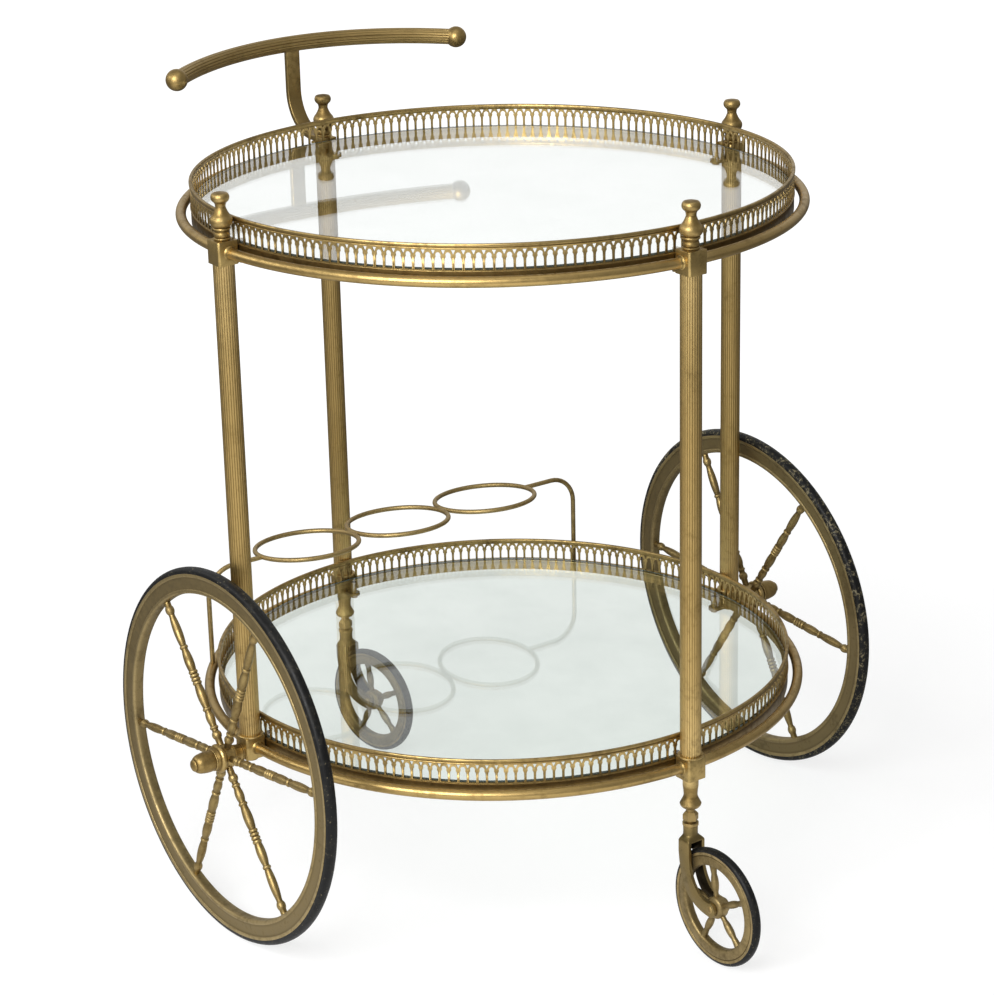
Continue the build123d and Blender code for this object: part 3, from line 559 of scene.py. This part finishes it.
ARCHES = 204
WALL_OUT, WALL_IN = 271.3, 270.1
ARCADE_FOOT, ARCADE_TOP = 7.1, 25.0
RIM_FOOT = ARCADE_TOP - 0.4
GLASS_FOOT = GLASS_TOP - GLASS_THICK
GROUND_FROM = 269.3
RING_SEGMENTS, PANE_SEGMENTS = 408, 256
# half outline of an opening from its foot up to its point, and half of the small triangle on a
# baluster's line: (across, up)
OPENING = [
    (3.15, 7.6), (3.15, 12.5), (3.1, 15.0), (2.95, 16.6), (2.55, 17.6), (2.1, 18.1), (2.05, 18.8),
    (2.25, 19.6), (2.2, 20.5), (1.9, 21.2), (1.4, 21.9), (0.75, 22.35), (0, 22.5),
]
TRIANGLE = [(1.72, 24.4), (1.3, 23.2), (0.78, 22.0), (0, 20.4)]
TRIANGLE_TOP = TRIANGLE[0][1]
# plain band below the arcade, with a fine sill bead and a turned-in foot: (height, radius)
BAND = [
    (ARCADE_FOOT, WALL_IN), (ARCADE_FOOT, WALL_OUT), (6.8, WALL_OUT + 0.45), (6.2, WALL_OUT + 0.6),
    (5.6, WALL_OUT + 0.45), (5.3, WALL_OUT), (-6.9, WALL_OUT), (-7.5, WALL_OUT - 0.4),
    (-7.5, WALL_IN),
]
# top rim: a rolled bead with a fine groove under it
RIM_BEAD = [
    (RIM_FOOT, WALL_IN - 0.05), (RIM_FOOT, WALL_OUT + 0.05), (25.6, WALL_OUT + 0.35),
    (26.0, WALL_OUT + 0.05), (26.3, WALL_OUT + 0.05), (26.8, 271.85), (27.6, 272.0), (28.8, 272.0),
    (29.4, 271.6), (29.6, 270.9), (29.6, 270.0), (29.3, 269.3), (28.7, 268.9), (26.4, 268.9),
    (25.4, 269.3), (RIM_FOOT, 269.8),
]
PANE = [
    (GLASS_FOOT, 0), (GLASS_FOOT, 120), (GLASS_FOOT, 268.9), (GLASS_FOOT + 0.25, 269.5),
    (GLASS_FOOT + 0.7, 269.8), (GLASS_TOP - 0.7, 269.8), (GLASS_TOP - 0.25, 269.5),
    (GLASS_TOP, 268.9), (GLASS_TOP, 120), (GLASS_TOP, 0),
]
SEAT = [
    (GLASS_FOOT, 270.1), (GLASS_FOOT, 266.3), (GLASS_FOOT - 0.3, 266.1), (GLASS_FOOT - 1.2, 266.1),
    (GLASS_FOOT - 1.5, 266.3), (GLASS_FOOT - 1.5, 268.6), (GLASS_FOOT - 7, 268.6),
    (GLASS_FOOT - 7, 270.1),
]


def arcade_cell():
    """One arch from baluster to baluster: points (across, up), triangles, and the rims of its
    openings."""
    half = math.pi * WALL_OUT / ARCHES
    opening = OPENING + [(-a, z) for a, z in reversed(OPENING[:-1])]
    notch = [(half - a, z) for a, z in reversed(TRIANGLE)] + [(half, TRIANGLE_TOP)]
    right = [(half, ARCADE_FOOT)] + notch + [(half, ARCADE_TOP)]
    left = [(-a, z) for a, z in reversed(right)]
    border = right + left
    loops = [[Vector((a, z, 0)) for a, z in loop] for loop in (border, opening[::-1])]
    near = list(range(1, len(notch) + 1))
    far = [len(border) - 1 - i for i in near]
    rims = list(zip(near, near[1:])) + list(zip(far[1:], far))
    first, size = len(border), len(opening)
    rims += [(first + i, first + (i + 1) % size) for i in range(size)]
    return border + opening[::-1], [list(t) for t in tessellate_polygon(loops)], rims


def on_ring(across, up, radius, height, turn):
    """Bends a flat point (across, up) round the tray's axis, at a radius of the wall."""
    angle = turn + across / WALL_OUT
    return (TRAY_X + radius * math.cos(angle), radius * math.sin(angle), height + up)


cell_points, cell_faces, cell_rims = arcade_cell()
for tier, height in RING_HEIGHT.items():
    axis_foot = (TRAY_X, 0, height)
    parts = []
    size = len(cell_points)
    for k in range(ARCHES):
        turn = (k + 0.5) * 2 * math.pi / ARCHES
        verts = [
            on_ring(a, z, radius, height, turn)
            for radius in (WALL_OUT, WALL_IN) for a, z in cell_points
        ]
        faces = list(cell_faces) + [[size + i for i in reversed(face)] for face in cell_faces]
        faces += [[i, j, size + j, size + i] for i, j in cell_rims]
        parts.append((verts, faces))
    parts.append(lathe(BAND, axis_foot, UP, AHEAD, RING_SEGMENTS, True))
    parts.append(lathe(RIM_BEAD, axis_foot, UP, AHEAD, RING_SEGMENTS, True))
    piece(f"{tier}_pierced_gallery", *join(parts), "stand", "aged_brass", strip_brass,
          [f"{tier}_gallery"], sharp=40)
    disc = piece(f"{tier}_pane", *lathe(PANE, axis_foot, UP, AHEAD, PANE_SEGMENTS),
                 "stand", "clear_glass", panes[tier], [f"{tier}_glass"], sharp=20)
    repaint(disc, glass_edge, lambda mid: math.hypot(mid.x - TRAY_X, mid.y) > GROUND_FROM)
    piece(f"{tier}_seat_ring", *lathe(SEAT, axis_foot, UP, AHEAD, PANE_SEGMENTS, True),
          "stand", "tarnished_brass", seat_brass, [f"{tier}_glass_seat"])

# -------------------------------------------------------------- push handle
BAR_REACH, BAR_HEIGHT = 335.7, 732.7
BAR_BOW, BAR_DROOP, BAR_HALF = 53.3, 6.2, 160.0
BAR_RADIUS, BAR_REEDS, BAR_REED_DEPTH = 7.75, 16, 0.6
BALL_RADIUS, BALL_STEPS = 10.5, 24
STEM_BEND, STEM_CORNER, STEM_FLAT = 40, 0.7, (284.0, 272.2)

bar_middle = Vector((TRAY_X - BAR_REACH, 0, BAR_HEIGHT))
bow = math.hypot(BAR_BOW, BAR_DROOP)
arc_radius = (BAR_HALF**2 + bow**2) / (2 * bow)
to_bar = Vector((-BAR_BOW, 0, BAR_DROOP)) / bow
arc_centre = bar_middle - to_bar * arc_radius
half_arc = math.asin(BAR_HALF / arc_radius)


def bar_point(turn):
    """A point on the push bar's middle line, by its angle from the bar's middle."""
    return arc_centre + (to_bar * math.cos(turn) + LEFT * math.sin(turn)) * arc_radius


bar_section = reeded_section(BAR_RADIUS, BAR_REEDS, BAR_REED_DEPTH)
bar_path = [bar_point(half_arc * (k / 32 - 1)) for k in range(65)]
piece("reeded_bar", *sweep(bar_section, bar_path, to_bar.cross(LEFT)), "stand", "aged_brass",
      bar_brass, ["handle_bar"], sharp=28)
ball_angles = [math.pi * k / BALL_STEPS for k in range(BALL_STEPS + 1)]
ball = [(BALL_RADIUS * -math.cos(a), BALL_RADIUS * math.sin(a)) for a in ball_angles]
balls = [lathe(ball, bar_point(half_arc * end), LEFT, AHEAD) for end in (-1, 1)]
piece("end_balls", *join(balls), "stand", "aged_brass", cast_brass, ["handle_balls"])

stem_section = []
flat_x, flat_y = STEM_THICK / 2 - STEM_CORNER, STEM_WIDTH / 2 - STEM_CORNER
for sx, sy in ((1, 1), (-1, 1), (-1, -1), (1, -1)):
    for k in range(4):
        angle = math.atan2(sy, sx) - math.pi / 4 + math.pi / 2 * k / 3
        corner = (STEM_CORNER * math.cos(angle), STEM_CORNER * math.sin(angle))
        stem_section.append((sx * flat_x + corner[0], sy * flat_y + corner[1]))
stem_foot = up_top - STEM_THICK / 2
# the stem starts inside the bar, 2 mm below its middle, and ends just past the rear finial
rise = BAR_HEIGHT - stem_foot - (STEM_BEND + 2)
stem_path = [(-BAR_REACH, stem_foot + STEM_BEND + rise * (1 - k / 8)) for k in range(9)]
stem_path += quarter_bend(-BAR_REACH, stem_foot, STEM_BEND, STEM_BEND, 12)
stem_path += [(-reach, stem_foot) for reach in STEM_FLAT]
stem_points = [(TRAY_X + x, 0, z) for x, z in stem_path]
piece("bent_stem", *sweep(stem_section, stem_points, LEFT), "stand", "aged_brass", strip_brass,
      ["handle_stem"])

# ------------------------------------------------------------ bottle holder
WIRE, BOTTLE_RING, BOTTLE_TILT = 2.35, 50.8, 6
BOTTLE_REACH, BOTTLE_HEIGHT = 176.0, 277.8
LEG_BEND, LEG_FOOT = 28, 181.5
bottle_pitch = 2 * (BOTTLE_RING + WIRE)
bottle_x = TRAY_X - BOTTLE_REACH
slope = Vector((math.cos(math.radians(BOTTLE_TILT)), 0, math.sin(math.radians(BOTTLE_TILT))))
wire_section = round_section(WIRE, 14)
for name, place in (("left", 1), ("middle", 0), ("right", -1)):
    centre = Vector((bottle_x, place * bottle_pitch, BOTTLE_HEIGHT))
    loop = [centre + (slope * x + LEFT * y) * BOTTLE_RING for x, y in round_section(1.0, 72)]
    piece(f"wire_ring_{name}", *sweep(wire_section, loop, slope.cross(LEFT), True),
          "stand", "aged_brass", wire_brass, [f"bottle_ring_{name}"])
leg_y = math.sqrt(TUBE_CIRCLE**2 - BOTTLE_REACH**2)
leg = [(leg_y, LEG_FOOT + (BOTTLE_HEIGHT - LEG_BEND - LEG_FOOT) * k / 4) for k in range(5)]
leg += quarter_bend(leg_y, BOTTLE_HEIGHT, -LEG_BEND, -LEG_BEND, 10)
leg.append((bottle_pitch + BOTTLE_RING + 1.0, BOTTLE_HEIGHT))
for name, place in WHEEL_SIDES.items():
    leg_points = [(bottle_x, place * y, z) for y, z in leg]
    piece(f"wire_leg_{name}", *sweep(wire_section, leg_points, AHEAD), "stand", "aged_brass",
          wire_brass, [f"bottle_leg_{name}"])

# -------------------------------------------------------------- side wheels
WHEEL_RADIUS, WHEEL_PLANE = 175.0, 309.3
WHEEL_SPOKES, WHEEL_SEGMENTS = 6, 160
SPOKE_ANGLE = {"left": -4.6, "right": 6.8}
LEAN = {"left": 2.4, "right": 1.1}
TOE = {"left": 0.0, "right": 1.5}
# outer halves of the rim's and the tyre's section: (outward from the middle plane, radius)
WHEEL_RIM = [
    (0, 151.0), (2.2, 151.05), (3.8, 151.3), (4.9, 151.9), (5.45, 152.6), (5.6, 153.4),
    (5.6, 154.5), (5.3, 155.2), (4.8, 155.6), (4.65, 158.0), (4.65, 164.0), (4.8, 166.2),
    (5.3, 166.5), (5.6, 167.0), (5.6, 169.2), (5.5, 169.5), (0, 169.5),
]
WHEEL_TYRE = [
    (0, 169.5), (5.3, 169.5), (5.3, 171.1), (5.05, 172.1), (4.4, 173.2), (3.5, 174.0),
    (2.4, 174.6), (1.2, 174.9), (0, 175.0),
]
SPOKE = [
    (11.0, None, 3.0), (17.5, None, 3.2), (24.5, 4.5, 3.0), (26.5, None, 3.0), (29.5, 4.0, 3.1),
    (32.0, None, 3.3), (43.0, 4.1, 3.2), (44.5, None, 3.2), (47.5, 4.2, 3.3), (49.5, None, 3.4),
    (70.0, 4.4, 3.3), (73.5, 4.3, 3.2), (77.0, 4.35, 3.2), (80.5, 4.35, 3.2), (84.0, 4.3, 3.5),
    (104.0, 4.3, 3.0), (105.0, None, 3.0), (108.5, 3.9, 2.9), (110.0, None, 3.2),
    (137.0, 4.0, 2.8), (139.0, None, 2.8), (147.0, 4.2, 3.1), (151.6, None, 3.2),
]
HUB = [
    (-15.0, None, 7.6), (-8.0, None, 8.4), (-5.0, 10.4, 10.2), (-4.2, None, 11.2),
    (3.4, None, 11.2), (4.0, None, 10.6), (10.0, 13.4, 10.2), (13.0, None, 8.8),
]
CAP = [
    (14.2, 10.0, 9.3), (26.0, 9.7, 9.0), (31.6, 8.3, 6.3), (32.0, None, 5.3), (33.6, 5.5, 5.0),
    (34.8, 4.0, 2.2), (35.0, None, 0.0),
]


def both_sides(outline):
    """The closed outline of a ring from the half on its outer side."""
    return outline + [(-s, r) for s, r in reversed(outline) if s > 0]


def wheel_frame(name):
    """A side wheel's centre, its axle's outward direction, and the two directions in its plane."""
    outward = WHEEL_SIDES[name]
    lean, toe = math.radians(LEAN[name]), math.radians(TOE[name])
    centre = Vector((TRAY_X, outward * WHEEL_PLANE, WHEEL_RADIUS))
    forward = Vector((math.cos(toe), -outward * math.sin(toe), 0))
    level = Vector((math.sin(toe), outward * math.cos(toe), 0))
    axle = level * math.cos(lean) + UP * math.sin(lean)
    upward = UP * math.cos(lean) - level * math.sin(lean)
    return centre, axle, forward, upward


for name in WHEEL_SIDES:
    body = f"{name}_wheel"
    centre, axle, forward, upward = wheel_frame(name)
    rim, tyre = (
        lathe(both_sides(half), centre, axle, forward, WHEEL_SEGMENTS, True)
        for half in (WHEEL_RIM, WHEEL_TYRE)
    )
    piece(f"{name}_moulded_rim", *rim, body, "aged_brass", rim_brass, [f"{name}_wheel_rim"])
    tread = chipped_rubber if name == "left" else rubber
    piece(f"{name}_rubber_tyre", *tyre, body, "black_tyre", tread, [f"{name}_wheel_tyre"])
    spokes = []
    for step in range(WHEEL_SPOKES):
        turn = math.radians(SPOKE_ANGLE[name] + 360 / WHEEL_SPOKES * step)
        along = forward * math.cos(turn) + upward * math.sin(turn)
        spokes.append(lathe(turned((8.5, 3.0), SPOKE, 6), centre, along, axle, 24))
    piece(f"{name}_turned_spokes", *join(spokes), body, "aged_brass", spoke_brass,
          [f"{name}_wheel_spokes"])
    piece(f"{name}_turned_hub", *lathe(turned((-15.0, 5.0), HUB), centre, axle, forward),
          body, "aged_brass", cast_brass, [f"{name}_wheel_hub"])
    piece(f"{name}_domed_cap", *lathe(turned((13.0, 8.8), CAP), centre, axle, forward),
          body, "aged_brass", cast_brass, [f"{name}_hub_cap"])

# ----------------------------------------------------------------- casters
YAW = {"front": 1.0, "rear": 12.0}
TRAIL, CASTER_RADIUS = 37.0, 55.0
CASTER_SPOKES, CASTER_SPOKE_ANGLE, CASTER_SEGMENTS = 5, 27, 112
SOCKET_TOP, PIN_RADIUS = 168.5, 4.0
SOCKET = [
    (160.6, None, 7.1), (153.7, 6.6, 6.3), (148.8, 6.3, 7.0), (143.4, None, 9.7), (139.0, 8.9, 6.0),
]
SOCKET_BORE = [(139.0, 4.1), (140.5, 4.1), (140.5, 0)]
NUT = [(126.7, 0), (126.7, 6.3), (127.4, 7.1), (132.6, 7.1), (135.1, 5.0), (135.1, 0)]
WASHER = [(121.8, 0), (121.8, 6.9), (122.2, 7.3), (124.5, 7.3), (124.9, 6.9), (124.9, 0)]
RIVET = [
    (-10.5, 0), (-10.4, 1.6), (-10.1, 2.7), (-9.5, 3.4), (-9.5, 2.5),
    (9.5, 2.5), (9.5, 3.4), (10.1, 2.7), (10.4, 1.6), (10.5, 0),
]
CASTER_RIM = [
    (0, 38.8), (1.6, 38.85), (2.8, 39.2), (3.7, 39.8), (4.15, 40.6), (4.2, 41.4), (4.2, 47.6),
    (4.0, 47.9), (3.7, 48.1), (3.7, 48.5), (4.0, 48.7), (4.2, 49.0), (4.2, 51.2), (0, 51.2),
]
CASTER_TYRE = [
    (0, 51.2), (4.2, 51.2), (4.2, 52.0), (4.0, 52.8), (3.4, 53.7), (2.5, 54.4), (1.3, 54.85),
    (0, 55.0),
]
CASTER_HUB = [
    (-5.4, 2.6), (-5.4, 7.6), (-4.9, 8.8), (-4.2, 9.8), (-3.2, 10.3),
    (3.2, 10.3), (4.2, 9.8), (4.9, 8.8), (5.4, 7.6), (5.4, 2.6),
]
CASTER_SPOKE = [(14.0, None, 2.3), (31.0, 3.5, 2.5), (36.8, None, 3.1), (39.4, None, 3.6)]
# the fork's side view, (behind the stem's axis, height), and its sizes across the wheel
FORK_BACK = [
    (-5.6, 97.0), (-4.1, 86.0), (-0.6, 72.0), (5.5, 60.5), (14.5, 53.2), (25.0, 49.0), (34.5, 47.4),
]
FORK_TIP = (43.0, 54.6)
FORK_FRONT = [(37.0, 60.8), (29.0, 60.9), (21.0, 64.8), (13.6, 73.6), (9.6, 84.5), (8.4, 97.0)]
FORK_REAR_X, FORK_FRONT_X = FORK_BACK[0][0], FORK_FRONT[-1][0]
FORK_TOP, BRIDGE_FOOT, WEB_FOOT = 108.4, 107.4, 95.0
ARM_IN, ARM_OUT, BRIDGE_HALF, WEB_HALF = 6.0, 9.5, 9.4, 6.2
WEB_REAR_X, WEB_FRONT_X = -5.1, -3.4
CROWN_SHOULDER, CROWN_TOP, CROWN_RADIUS = 113.3, 121.8, 6.65
CROWN_MIDDLE_X, CROWN_HALF_X = 1.4, 7.0
CROWN_ROWS, CROWN_COLUMNS = 8, 40


def smooth_run(points, fine=5):
    """A Catmull-Rom curve through plane points."""
    ends = [points[0]] + list(points) + [points[-1]]
    run = []
    for k in range(1, len(ends) - 2):
        for step in range(fine):
            t = step / fine
            run.append(tuple(
                0.5 * (2 * b + (c - a) * t + (2 * a - 5 * b + 4 * c - d) * t * t
                       + (3 * b - a - 3 * c + d) * t**3)
                for a, b, c, d in zip(*ends[k - 1 : k + 3])
            ))
    run.append(tuple(points[-1]))
    return run


def fork_parts(foot, trailing, across):
    """The two arms, the bridge over the wheel, the web behind it, and the crown that blends from
    the bridge to the stem."""
    def place(x, y, z):
        return foot + trailing * x + across * y + UP * z

    def upright(rear, front, half, low, high):
        corners = [(rear, -half), (front, -half), (front, half), (rear, half)]
        verts = [place(x, y, z) for z in (low, high) for x, y in corners]
        return verts, prism_faces(len(corners))

    outline = [(FORK_REAR_X, FORK_TOP)] + smooth_run(FORK_BACK)
    outline += arc_through(FORK_BACK[-1], FORK_TIP, FORK_FRONT[0], 10)[:-1]
    outline += smooth_run(FORK_FRONT) + [(FORK_FRONT_X, FORK_TOP)]
    parts = []
    for near, far in ((ARM_IN, ARM_OUT), (-ARM_OUT, -ARM_IN)):
        verts = [place(x, y, z) for y in (near, far) for x, z in outline]
        parts.append((verts, prism_faces(len(outline))))
    parts.append(upright(FORK_REAR_X, FORK_FRONT_X, BRIDGE_HALF, BRIDGE_FOOT, FORK_TOP))
    parts.append(upright(WEB_REAR_X, WEB_FRONT_X, WEB_HALF, WEB_FOOT, BRIDGE_FOOT + 0.5))

    circle = round_section(1.0, CROWN_COLUMNS)
    verts = []
    for row in range(CROWN_ROWS + 1):
        share = row / CROWN_ROWS
        blend = 0.5 * share + 0.5 * share * share * (3 - 2 * share)
        z = FORK_TOP + (CROWN_SHOULDER - FORK_TOP) * share
        for cx, sy in circle:
            reach = min(CROWN_HALF_X / max(abs(cx), TINY), ARM_OUT / max(abs(sy), TINY))
            x = (CROWN_MIDDLE_X + reach * cx) * (1 - blend) + CROWN_RADIUS * cx * blend
            y = reach * sy * (1 - blend) + CROWN_RADIUS * sy * blend
            verts.append(place(x, y, z))
    neck = ((CROWN_SHOULDER + 3, 6.55), (CROWN_TOP - 0.6, CROWN_RADIUS), (CROWN_TOP, 6.2))
    for z, radius in neck:
        verts += [place(radius * cx, radius * sy, z) for cx, sy in circle]
    columns, total = CROWN_COLUMNS, len(verts)
    faces = []
    for low in range(0, total - columns, columns):
        high = low + columns
        for k in range(columns):
            nxt = (k + 1) % columns
            faces.append([low + k, low + nxt, high + nxt, high + k])
    faces += [list(range(columns)), list(range(total - columns, total))]
    parts.append((verts, faces))
    return parts


for name, yaw in YAW.items():
    turn = math.radians(yaw)
    trailing = Vector((math.cos(turn), math.sin(turn), 0))
    across = Vector((-math.sin(turn), math.cos(turn), 0))
    foot = post_point(name, POST_CIRCLE, 0)
    centre = foot + trailing * TRAIL + UP * CASTER_RADIUS
    swivel, roller = f"{name}_swivel", f"{name}_roller"
    socket = [(SOCKET_TOP, 0)] + turned((SOCKET_TOP, 7.1), SOCKET) + SOCKET_BORE
    piece(f"{name}_turned_socket", *lathe(socket, foot, UP, AHEAD),
          "stand", "aged_brass", cast_brass, [f"{name}_caster_socket"])
    hardware = [
        lathe(NUT, foot, UP, trailing, 6),
        lathe([(135.0, PIN_RADIUS), (141.0, PIN_RADIUS)], foot, UP, trailing, 24),
        lathe(WASHER, foot, UP, trailing, 32),
        lathe([(124.0, PIN_RADIUS), (127.0, PIN_RADIUS)], foot, UP, trailing, 24),
    ]
    piece(f"{name}_stem_and_nut", *join(hardware), swivel, "tarnished_brass", dull_brass,
          [f"{name}_caster_stem"], sharp=30)
    fork = piece(f"{name}_swan_fork", *join(fork_parts(foot, trailing, across)),
                 swivel, "aged_brass", fork_brass, [f"{name}_caster_fork"])
    bevelled(fork, angle=40)
    # painted shade: the arms' inner faces, the bridge's underside and the web, where shade falls,
    # are painted nearly black
    repaint(fork, painted_shade_brass, lambda mid: (
        abs((mid - foot).dot(across)) < ARM_IN + 0.3 and mid.z < BRIDGE_FOOT + 0.5))
    piece(f"{name}_rivet", *lathe(RIVET, centre, across, trailing, 32),
          swivel, "tarnished_brass", dull_brass, [f"{name}_caster_axle"])
    wheel = [
        lathe(both_sides(CASTER_RIM), centre, across, trailing, CASTER_SEGMENTS, True),
        lathe(CASTER_HUB, centre, across, trailing, closed=True),
    ]
    for step in range(CASTER_SPOKES):
        spin = math.radians(CASTER_SPOKE_ANGLE + 360 / CASTER_SPOKES * step)
        along = trailing * math.cos(spin) + UP * math.sin(spin)
        wheel.append(lathe(turned((8.0, 2.5), CASTER_SPOKE, 6), centre, along, across, 20))
    piece(f"{name}_small_wheel", *join(wheel), roller, "aged_brass", caster_brass,
          [f"{name}_caster_wheel"])
    tyre = lathe(both_sides(CASTER_TYRE), centre, across, trailing, CASTER_SEGMENTS, True)
    piece(f"{name}_small_tyre", *tyre, roller, "black_tyre", rubber, [f"{name}_caster_tyre"])

# ----------------------------------------- CAD nodes whose shape is kept
for node in ("tie_rods", "lower_tray_lugs", "upper_tray_lugs", "tray_screws", "wheel_axles"):
    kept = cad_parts[node]
    kept.data.materials.clear()
    kept.data.materials.append(dull_brass)

# --------------------------------------------------- stage, light and camera
# lengths in this part are metres, and angles are degrees unless said otherwise
FLOOR_REACH, FLOOR_DROP = 14.0, 0.0002
FLOOR_GREY, MIRRORED_GREY = (0.3, 0.3, 0.3), (0.13, 0.13, 0.13)
POOL_CENTRE = (0.98, -0.88, 0)
BACKDROP_DIRECTION = (-0.97, 0.24, 0)
WORLD_STRENGTH = 0.38
LAMP_AIM_HEIGHT = 0.38


def ray_kinds(tree):
    """1 for rays that meet the background directly or through glass, and 1 for those that metal
    or glass mirrors."""
    path = tree.nodes.new("ShaderNodeLightPath").outputs
    direct = maths(tree, "MAXIMUM", path["Is Camera Ray"], path["Is Transmission Ray"])
    mirrored = maths(tree, "MULTIPLY", path["Is Glossy Ray"], maths(tree, "SUBTRACT", 1.0, direct))
    return direct, mirrored


def background_rays(tree, seen, mirrored):
    """A strength that is seen for direct rays and mirrored for reflected ones."""
    direct, glossy = ray_kinds(tree)
    plain = maths(tree, "MULTIPLY", direct, seen)
    return maths(tree, "MAXIMUM", plain, maths(tree, "MULTIPLY", glossy, mirrored))


def stage_floor():
    """A pale floor that keeps the cart's shadow."""
    mesh = bpy.data.meshes.new("studio_floor")
    corners = [(-1, -1), (1, -1), (1, 1), (-1, 1)]
    verts = [(x * FLOOR_REACH, y * FLOOR_REACH, 0) for x, y in corners]
    mesh.from_pydata(verts, [], [(0, 1, 2, 3)])
    floor = bpy.data.objects.new("studio_floor", mesh)
    bpy.context.scene.collection.objects.link(floor)
    floor.location.z = -FLOOR_DROP
    material = bpy.data.materials.new("studio_floor")
    material.use_nodes = True
    tree = material.node_tree
    tree.nodes.clear()
    place = tree.nodes.new("ShaderNodeTexCoord").outputs["Object"]
    diffuse = tree.nodes.new("ShaderNodeBsdfDiffuse")
    grey = blend_colours(tree, ray_kinds(tree)[1], FLOOR_GREY, MIRRORED_GREY)
    tree.links.new(grey, diffuse.inputs["Color"])
    lift = tree.nodes.new("ShaderNodeEmission")
    lift.inputs["Color"].default_value = (1, 1, 1, 1)
    # white to the eye, a little less near the cart, so that its shadow stays
    from_cart = compare(tree, "DISTANCE", place, (0, 0, 0))
    plain = span(tree, from_cart, 0.5, 1.8, 0.74, 1.0)
    # metal mirrors a floor that is bright on the camera's side and dim elsewhere
    from_pool = compare(tree, "DISTANCE", place, POOL_CENTRE)
    pool = span(tree, from_pool, 0.35, 1.75, 1.6, 0.12)
    tree.links.new(background_rays(tree, plain, pool), lift.inputs["Strength"])
    add = tree.nodes.new("ShaderNodeAddShader")
    tree.links.new(diffuse.outputs[0], add.inputs[0])
    tree.links.new(lift.outputs[0], add.inputs[1])
    output = tree.nodes.new("ShaderNodeOutputMaterial")
    tree.links.new(add.outputs[0], output.inputs["Surface"])
    mesh.materials.append(material)


def studio_world():
    """White to the eye, and a dim, even light on the cart."""
    world = bpy.data.worlds.new("studio")
    bpy.context.scene.world = world
    world.use_nodes = True
    tree = world.node_tree
    background = tree.nodes["Background"]
    background.inputs["Color"].default_value = (1, 1, 1, 1)
    direction = tree.nodes.new("ShaderNodeTexCoord").outputs["Generated"]
    # white behind the cart up to half height, where the glass mirrors it, and dim elsewhere
    behind = span(tree, compare(tree, "DOT_PRODUCT", direction, BACKDROP_DIRECTION), 0.0, 0.7)
    height = compare(tree, "DOT_PRODUCT", direction, (0, 0, 1))
    above, below = span(tree, height, 0.05, 0.18), span(tree, height, 0.5, 0.75, 1.0, 0.0)
    share = maths(tree, "MULTIPLY", behind, maths(tree, "MULTIPLY", above, below))
    backdrop = span(tree, share, 0.0, 1.0, 0.17, 0.86)
    seen = background_rays(tree, 1.0, backdrop)
    strength = maths(tree, "MAXIMUM", seen, WORLD_STRENGTH)
    tree.links.new(strength, background.inputs["Strength"])


def lamp(name, azimuth, elevation, distance, size, power):
    """A square soft light that looks at the cart's middle from a direction in the tray's frame."""
    aim = Vector((TRAY_X * MM, 0, LAMP_AIM_HEIGHT))
    a, e = math.radians(azimuth), math.radians(elevation)
    direction = Vector((math.cos(a) * math.cos(e), math.sin(a) * math.cos(e), math.sin(e)))
    place = aim + direction * distance
    data = bpy.data.lights.new(name, "AREA")
    data.shape = "SQUARE"
    data.size = size
    data.energy = power
    obj = bpy.data.objects.new(name, data)
    bpy.context.scene.collection.objects.link(obj)
    obj.location = place
    obj.rotation_euler = (aim - place).to_track_quat("-Z", "Y").to_euler()
    # the panes don't mirror the lamp, which would wash out what lies behind them
    spared = bpy.data.collections.new(f"{name}_spares")
    for tier in RING_HEIGHT:
        spared.objects.link(bpy.data.objects[f"{tier}_pane"])
    for entry in spared.collection_objects:
        entry.light_linking.link_state = "EXCLUDE"
    obj.light_linking.receiver_collection = spared


def camera():
    """The photograph's viewpoint; its angles are in radians."""
    yaw, pitch, roll = 2.525634, -0.345916, -0.023627
    place = Vector((2.04301 + TRAY_X * MM, -1.448875, 1.254794))
    reach = math.cos(pitch)
    forward = Vector((math.cos(yaw) * reach, math.sin(yaw) * reach, math.sin(pitch)))
    right = forward.cross(UP).normalized()
    up = right.cross(forward)
    rolled_right = right * math.cos(roll) + up * math.sin(roll)
    rolled_up = up * math.cos(roll) - right * math.sin(roll)
    data = bpy.data.cameras.new("camera")
    data.lens = 102.688
    data.sensor_width = 36
    data.clip_start = 0.05
    obj = bpy.data.objects.new("camera", data)
    bpy.context.scene.collection.objects.link(obj)
    turn = Matrix((rolled_right, rolled_up, -forward)).transposed().to_4x4()
    turn.translation = place
    obj.matrix_world = turn
    bpy.context.scene.camera = obj


stage_floor()
studio_world()
lamp("key", azimuth=-62, elevation=30, distance=2.6, size=1.5, power=74)
lamp("side", azimuth=-125, elevation=30, distance=2.8, size=1.1, power=12)
lamp("top", azimuth=-20, elevation=82, distance=2.4, size=1.6, power=6)
camera()
bpy.context.scene.view_settings.view_transform = "Standard"
